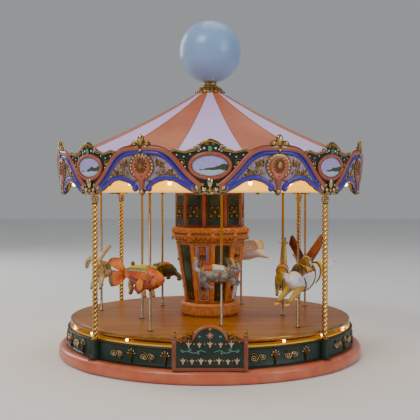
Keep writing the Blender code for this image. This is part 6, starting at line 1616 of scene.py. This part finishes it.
def giraffe():
    c = Creature([(-16, 0, -2, 0.8, 1.0), (-14, 0, -1.8, 3.0, 3.6), (-8, 0, -0.6, 4.6, 5.3), (0, 0, 0.0, 4.5, 5.1), (6, 0, 1.4, 3.6, 4.6), (9, 0, 2.4, 1.6, 2.4)]).body(PATCH)
    c.piece.add(tube(curve([(5.0, 0, 1.0), (7.6, 0, 7.0), (9.6, 0, 14.0), (10.6, 0, 20.0)], 6), tail(3.4, 1.8), 16), PATCH)
    c.lump((6.8, 0, 1.0), 3.6, (0.8, 0.9, 1.2), PINK)
    c.lump((12.0, 0, 20.6), 2.5, (1.25, 0.85, 0.9), PATCH)
    c.lump((15.2, 0, 19.4), 1.7, (1.25, 0.9, 0.8), IVORY)
    c.eyes(12.6, 1.8, 21.4, 0.55)
    for way in (1, -1):
        c.piece.add(tube([(10.6, 0.9 * way, 22.2), (10.2, 1.2 * way, 24.6)], 0.5, 8), BROWN)
        c.lump((10.2, 1.2 * way, 24.8), 0.75, (1, 1, 1), BROWN)
        c.piece.add(fin([(10.0, 1.6 * way, 21.6), (9.8, 1.9 * way, 21.0), (10.0, 1.7 * way, 20.4)], [(9.0, 3.0 * way, 22.6), (8.6, 3.4 * way, 21.8), (9.0, 3.0 * way, 21.0)], 0.5, ribs=1, wave=0.0, n=12), PATCH)
    c.fins([(3.4, 0, 4.4), (6.6, 0, 11.0), (8.6, 0, 19.0)], [(1.0, 0, 5.6), (4.6, 0, 12.0), (6.8, 0, 20.4)], 0.9, BROWN, ribs=9, wave=0.2)
    c.cover(-8.6, 3.4, 66, LAVENDER, 0.7, 6.0, 4)
    c.cover(-10.2, 3.8, 76, BROWN, 0.35, 4.0, 5)
    c.saddle(-6.4, 1.6, RED_CLOTH, YELLOW, 1.8)
    for z in (8.0, 12.4):
        x = 5.2 + 0.33 * z
        c.piece.add(tube([(x - 0.1, 0, z - 0.6), (x + 0.2, 0, z + 0.6)], 3.35 - 0.09 * z, 16), LAVENDER)
    c.legs([(-11, 2.6, -2.5), (-13.4, 3.0, -7.0), (-14.0, 3.0, -11.6), (-16.0, 3.0, -15.6)], tail(2.4, 1.0), PATCH, (1.2, BROWN))
    c.legs([(5.0, 2.2, -1.5), (7.6, 2.7, -6.0), (9.6, 2.8, -10.6), (9.8, 2.8, -14.6)], tail(2.2, 0.95), YELLOW, (1.2, BROWN))
    c.piece.add(tube(curve([(-15, 0, 0.4), (-18, 0, -1.0), (-19, 0, -5.0), (-18.4, 0, -8.0)], 5), tail(0.9, 0.6), 8), PATCH)
    c.lump((-18.4, 0, -8.6), 1.1, (1, 1, 1.4), BROWN)
    return c


def red_eagle():
    c = Creature([(-16, 0, -3.4, 0.8, 0.8), (-13, 0, -2.6, 2.6, 2.4), (-8, 0, -1, 4.2, 4.5), (-1, 0, 0, 5.0, 5.6), (6, 0, 2.0, 4.2, 4.8), (10, 0, 4.4, 3.2, 3.6), (13.4, 0, 6.2, 2.7, 2.9), (15.8, 0, 6.0, 1.4, 1.6), (16.6, 0, 5.8, 0.6, 0.8)]).body(RUST)
    c.lump((12.8, 0, 6.6), 3.1, (1.1, 0.9, 0.95), WHITE)
    c.piece.add(tube(curve([(15.0, 0, 6.6), (17.4, 0, 6.4), (18.6, 0, 4.9)], 4), tail(1.3, 0.4), 10, 0.8), YELLOW)
    c.eyes(14.2, 2.4, 7.4, 0.55)
    c.fins([(5, 3.6, 4.4), (0, 4.6, 4.0), (-5, 3.6, 2.4)], [(3.6, 12.4, 16.0), (-2.0, 14.2, 23.6), (-9.0, 10.6, 13.6)], 1.6, RUST, True, ribs=8, wave=0.8)
    c.fins([(4, 4.2, 4.0), (0, 4.9, 3.6), (-4, 4.2, 2.6)], [(3.0, 10.0, 11.4), (-2.0, 11.0, 15.4), (-6.6, 8.4, 9.0)], 1.3, RUST, True, ribs=5, wave=0.6)
    c.fins([(-13, 1.6, -1.6), (-13.6, 0, -1.4), (-13, -1.6, -1.6)], [(-21, 4.6, -3.6), (-23, 0, -3.0), (-21, -4.6, -3.6)], 1.0, RUST, ribs=5, wave=0.2)
    c.cover(-6.0, 3.0, 60, GREEN_CLOTH, 0.7, 6.0, 4)
    c.saddle(-5.0, 2.0, YELLOW, STEEL, 1.8)
    c.strap(5.4, BROWN, 0.8, 0.4, 1.2)
    c.legs([(-2.5, 2.2, -4.0), (-4.0, 2.8, -7.4), (-3.6, 2.8, -10.0)], tail(2.0, 0.9), YELLOW, (1.3, YELLOW))
    return c


def swan():
    c = Creature([(-25, 0, -3.0, 0.5, 0.7), (-21, 0, -1.6, 1.8, 2.0), (-15, 0, 0.6, 4.2, 4.0), (-8, 0, 0.4, 6.0, 5.9), (0, 0, 0, 6.3, 6.3), (6, 0, -0.2, 5.4, 5.4), (11, 0, 0.0, 3.4, 3.6), (13.4, 0, 0.6, 1.4, 1.6)]).body(WHITE)
    c.piece.add(tube(curve([(10.0, 0, 0.4), (14.6, 0, 3.4), (15.2, 0, 8.0), (12.4, 0, 11.6), (13.2, 0, 14.6), (16.0, 0, 14.6)], 6), tail(2.9, 1.6), 16), WHITE)
    c.lump((15.4, 0, 14.4), 2.2, (1.3, 0.9, 0.9), WHITE)
    c.piece.add(tube(curve([(17.2, 0, 14.2), (19.6, 0, 13.4), (21.2, 0, 12.6)], 4), tail(1.3, 0.5), 10, 0.8), YELLOW)
    c.lump((17.6, 0, 15.0), 0.7, (1, 1, 1), EYE_DARK)
    c.eyes(16.0, 1.8, 15.0, 0.45)
    c.fins([(5, 4.6, 2.6), (0, 5.8, 2.0), (-5, 5.4, 0.0)], [(-6, 8.2, 10.4), (-15, 7.8, 10.8), (-19, 5.6, 4.0)], 1.5, WHITE, True, ribs=7, wave=0.6)
    c.cover(-6.0, 4.0, 50, SKY, 0.6, 6.0, 4)
    c.saddle(-5.0, 3.0, LAVENDER, YELLOW, 2.0)
    c.strap(7.2, YELLOW, 0.9, 0.5, 1.0)
    return c


def parrot():
    c = Creature([(-20, 0, -8, 0.5, 0.8), (-16, 0, -5.6, 1.8, 2.0), (-10, 0, -2.5, 3.9, 4.3), (-3, 0, -0.2, 5.0, 5.8), (3, 0, 2.2, 4.8, 5.5), (8, 0, 5.2, 3.9, 4.4), (11.4, 0, 6.6, 3.0, 3.3), (13.2, 0, 6.4, 1.2, 1.6)]).body(PARROT_ORANGE)
    c.cover(-16, 6, 74, PARROT_GREEN, 0.3, centre=270.0)
    c.piece.add(tube(curve([(12.0, 0, 7.4), (14.8, 0, 6.8), (15.2, 0, 4.4)], 4), tail(1.7, 0.5), 10, 0.8), BLACK)
    c.eyes(11.2, 2.7, 7.8, 0.6)
    c.fins([(3, 4.2, 3.6), (0, 4.9, 2.0), (-2, 4.6, -0.6)], [(-9, 6.6, 2.0), (-17, 5.0, -4.6), (-11, 5.4, -5.0)], 1.2, PARROT_GREEN, True, ribs=6, wave=0.3)
    c.fins([(-16, 1.0, -4.6), (-17, 0, -5.6), (-16, -1.0, -6.4)], [(-25, 1.6, -8.0), (-26, 0, -10.4), (-23, -1.6, -11.0)], 0.9, RED_CLOTH, ribs=4, wave=0.2)
    c.cover(-6.0, 3.0, 56, LAVENDER, 0.6, 6.0, 4)
    c.saddle(-5.0, 2.0, YELLOW, STEEL, 1.8)
    c.legs([(-1.5, 2.0, -4.0), (-2.4, 2.4, -6.8), (-1.0, 2.4, -9.0)], tail(1.7, 0.9), GREY, (1.2, GREY))
    return c


def tortoise():
    c = Creature([(-16, 0, -1.8, 0.5, 0.6), (-14, 0, -1.2, 2.4, 1.8), (-11, 0, 0.0, 5.6, 3.8), (-4, 0, 1.4, 7.6, 5.7), (4, 0, 1.2, 7.2, 5.4), (9, 0, 0.2, 4.6, 3.6), (11, 0, 0.0, 2.4, 2.2)]).body(SHELL)
    c.piece.add(tube(curve([(9, 0, -0.4), (13, 0, 0.6), (16.4, 0, 1.8)], 5), tail(2.8, 2.3), 16), SKIN_GREEN)
    c.lump((16.6, 0, 2.0), 2.7, (1.2, 0.9, 0.9), SKIN_GREEN)
    c.eyes(17.8, 1.9, 2.9, 0.55)
    c.cover(-12.6, 9.6, 176, OLIVE, 0.3, centre=270.0, n=20)
    for i in range(5):
        x = -9 + 4 * i
        _, _, z, w, h = c.at(x)
        for turn in (90, 52, 128):
            a = math.radians(turn)
            c.lump((x + (0 if turn == 90 else 1.6), (w - 0.4) * math.cos(a), z + (h - 0.4) * math.sin(a)), 2.0, (1, 1, 0.75), SHELL)
    c.saddle(-4.4, 3.6, RED_CLOTH, YELLOW, 1.6)
    c.strap(-6.6, BROWN, 0.9)
    c.legs([(-9, 4.6, -1), (-12, 6.4, -3.4), (-13, 6.9, -6.6)], tail(2.3, 1.8), SKIN_GREEN, (1.8, SKIN_GREEN))
    c.legs([(6, 4.6, -1), (9.2, 6.4, -3.4), (10.4, 6.8, -6.6)], tail(2.3, 1.8), SKIN_GREEN, (1.8, SKIN_GREEN))
    return c


def lion():
    c = Creature([(-18, 0, 0, 0.8, 1.0), (-16, 0, 0.2, 3.0, 3.8), (-10, 0, 0.6, 4.4, 5.1), (-2, 0, 0.2, 4.5, 4.9), (4, 0, 1.2, 4.6, 5.6), (8, 0, 3.0, 3.8, 4.8), (10, 0, 3.6, 1.6, 2.0)]).body(TAN)
    c.lump((8.6, 0, 3.6), 6.6, (0.75, 0.95, 1.05), MANE)
    for i in range(12):
        a = 2 * math.pi * i / 12
        c.lump((9.2, 5.0 * math.cos(a), 3.8 + 5.8 * math.sin(a)), 1.9, (1.0, 1.0, 1.0), MANE)
    c.lump((12.6, 0, 4.0), 3.6, (1.0, 0.95, 0.95), TAN)
    c.lump((15.6, 0, 2.6), 1.9, (1.1, 1.1, 0.8), IVORY)
    c.lump((17.0, 0, 3.4), 0.8, (1, 1.4, 0.8), BROWN)
    c.lump((10.8, 3.6, 7.4), 1.3, (0.7, 1, 1), TAN, True)
    c.eyes(15.2, 1.9, 5.0, 0.55)
    c.cover(-8.6, 2.4, 66, GREEN_CLOTH, 0.7, 6.0, 4)
    c.cover(-8.2, 2.0, 74, IVORY, 0.35, 6.0, 4)
    c.saddle(-6.4, 1.0, RED_CLOTH, YELLOW, 1.8)
    c.legs([(-12.5, 2.8, -1.5), (-15.0, 3.3, -5.4), (-13.8, 3.3, -9.0), (-16.4, 3.3, -11.8)], tail(2.7, 1.4), TAN, (1.7, TAN))
    c.legs([(5.5, 2.8, -1.5), (8.4, 3.3, -5.4), (11.6, 3.4, -8.0), (13.0, 3.4, -10.8)], tail(2.4, 1.4), TAN, (1.7, TAN))
    c.piece.add(tube(curve([(-17, 0, 1.4), (-20, 0, 3.4), (-21, 0, 7.0), (-19.4, 0, 9.4)], 5), tail(1.1, 0.7), 10), TAN)
    c.lump((-19.2, 0, 10.0), 1.6, (1, 1, 1.3), MANE)
    return c


POLE_R = 0.9
RIDERS = {goldfish: 36.0, white_goose: 34.0, red_eagle: 35.0, parrot: 29.0, rabbit: 31.0, grey_cat: 36.0, giraffe: 33.0, swan: 43.0, tortoise: 28.0, lion: 29.0}


def make_riders():
    deck = high("deck")
    for make, level in RIDERS.items():
        name = make.__name__
        x, y = middle(name + "_pole")
        turn = angle_of(x, y)
        creature = make()
        points, faces = moved((creature.piece.points, creature.piece.faces), x, y, deck + level, turn)
        creature.piece.points = points
        creature.piece.make(name + "_figure", name + "_rider", [name], "creature_paint", sharp=50)
        bottom, top = low(name + "_pole"), high(name + "_pole")
        pole = Piece()
        thick = POLE_R
        foot = [(0.6, bottom), (1.5, bottom + 0.2), (1.9, bottom + 0.9), (1.9, bottom + 1.7), (thick, bottom + 2.6), (thick, top - 0.3), (thick - 0.3, top)]
        pole.add(moved(skin([[polar(r, 18 * k, z) for k in range(20)] for r, z in foot]), x, y), POLE)
        pole.make(name + "_rod", name + "_rider", [name + "_pole"], "steel", sharp=50)


def make_ferrules():
    """Small brass guides round each pole, in the deck and under the ceiling."""
    deck, ceiling = high("deck"), low("ceiling_drum")
    piece = Piece()
    for make in RIDERS:
        x, y = middle(make.__name__ + "_pole")
        for z, up in ((deck, 1), (ceiling, -1)):
            rows = [[polar(r, 15 * k, z + up * h) for k in range(24)] for r, h in ((1.3, -0.1), (2.2, -0.1), (2.2, 0.2), (1.9, 0.45), (1.6, 0.5), (1.3, 0.5))]
            piece.add(moved(skin(rows, closed=True, caps=False), x, y), OLD_GOLD)
    piece.make("pole_guides", "carousel", slot="brass")


# --- Materials for the CAD nodes that stay ------------------------------------------------------
DARK_PAINT = finish("base_black", (0.03, 0.03, 0.034), 0.5, vary=0.25, bump=0.35, grain=1100.0, hollow_shade=0.3)
DARK_BRASS = finish("movement_brass", (0.74, 0.50, 0.20), 0.32, 1.0, vary=0.14, streak=(1.0, 0.1, 1.0), grain=800.0, bump=0.25, hollow_shade=0.6)
CAST = finish("cast_zinc", (0.50, 0.50, 0.50), 0.42, 1.0, vary=0.12, bump=0.5, grain=1200.0, hollow_shade=0.5)
SPRING = finish("blue_steel", (0.16, 0.18, 0.26), 0.25, 1.0, vary=0.2, streak=(1.0, 1.0, 0.1), hollow_shade=0.2)
CELLS = finish("cell_jacket", (0.30, 0.32, 0.34), 0.32, 0.4, vary=0.1, streak=(0.1, 1.0, 1.0), hollow_shade=0.3, second=(0.06, 0.20, 0.36), blend=(0.48, 0.52))

KEPT = {
    "bottom_plate": DARK_PAINT,
    "battery_box": BLACK,
    "battery_pack": CELLS,
    "battery_door": BLACK,
    "light_switch": BLACK,
    "winding_key": BRASS,
    "winding_arbor": STEEL,
    "spindle": STEEL,
    "spring_barrel": DARK_BRASS,
    "mainspring": SPRING,
    "lift_tracks": CAST,
    "movement_bedplate": CAST,
    "comb": STEEL,
    "governor_bracket": DARK_BRASS,
    "governor_fly": STEEL,
    "music_cylinder": DARK_BRASS,
    "cylinder_arbor": STEEL,
    "top_bearing": DARK_BRASS,
}


def paint_kept():
    for node, paint in KEPT.items():
        slots = bpy.data.objects[node].material_slots
        if not slots:
            bpy.data.objects[node].data.materials.append(paint)
        for place in slots:
            place.material = paint


# --- Studio -------------------------------------------------------------------------------------
def area(name, spot, target, size, power, colour):
    data = bpy.data.lights.new(name, "AREA")
    data.shape = "RECTANGLE"
    data.size, data.size_y = size
    data.energy = power
    data.color = colour
    lamp = bpy.data.objects.new(name, data)
    lamp.location = spot
    lamp.rotation_euler = (Vector(target) - Vector(spot)).to_track_quat("-Z", "Y").to_euler()
    bpy.context.scene.collection.objects.link(lamp)


def make_studio():
    mesh = bpy.data.meshes.new("studio_floor")
    wide = 3.0
    mesh.from_pydata([(-wide, -wide, 0), (wide, -wide, 0), (wide, wide, 0), (-wide, wide, 0)], [], [(0, 1, 2, 3)])
    mesh.materials.append(finish("floor_paper", (0.82, 0.82, 0.81), 0.9, vary=0.02, scale=4.0, bump=0.02, hollow_shade=0.0))
    floor = bpy.data.objects.new("studio_floor", mesh)
    bpy.context.scene.collection.objects.link(floor)
    world = bpy.data.worlds.new("studio")
    world.use_nodes = True
    back = world.node_tree.nodes["Background"]
    back.inputs["Color"].default_value = (0.95, 0.97, 1.0, 1.0)
    back.inputs["Strength"].default_value = 0.34
    bpy.context.scene.world = world
    area("key", (-0.55, -0.75, 0.95), (0, 0, 0.13), (0.5, 0.4), 6.5, (1.0, 0.97, 0.92))
    area("fill", (0.8, -0.6, 0.45), (0, 0, 0.12), (0.45, 0.6), 2.6, (0.93, 0.96, 1.0))
    area("top", (0.1, 0.25, 1.1), (0, 0, 0.15), (0.7, 0.7), 2.6, (1.0, 1.0, 1.0))
    area("rim", (-0.7, 0.6, 0.5), (0, 0, 0.14), (0.3, 0.6), 3.0, (1.0, 0.98, 0.95))


def make_camera():
    away, height, down = 0.595, 0.1212, 1.297
    data = bpy.data.cameras.new("camera")
    data.lens = 66.26
    data.sensor_width = 36.0
    data.clip_start, data.clip_end = 0.02, 20.0
    camera = bpy.data.objects.new("camera", data)
    camera.location = (0.0, -away, height)
    camera.rotation_euler = (math.radians(90 - down), 0.0, 0.0)
    bpy.context.scene.collection.objects.link(camera)
    bpy.context.scene.camera = camera


make_camera()
make_studio()
paint_kept()
make_plinth()
make_band()
make_channel()
make_deck()
make_posts()
make_crown()
make_inner_crown()
make_canopy()
make_top()
make_tower()
make_sign()
make_riders()
make_ferrules()
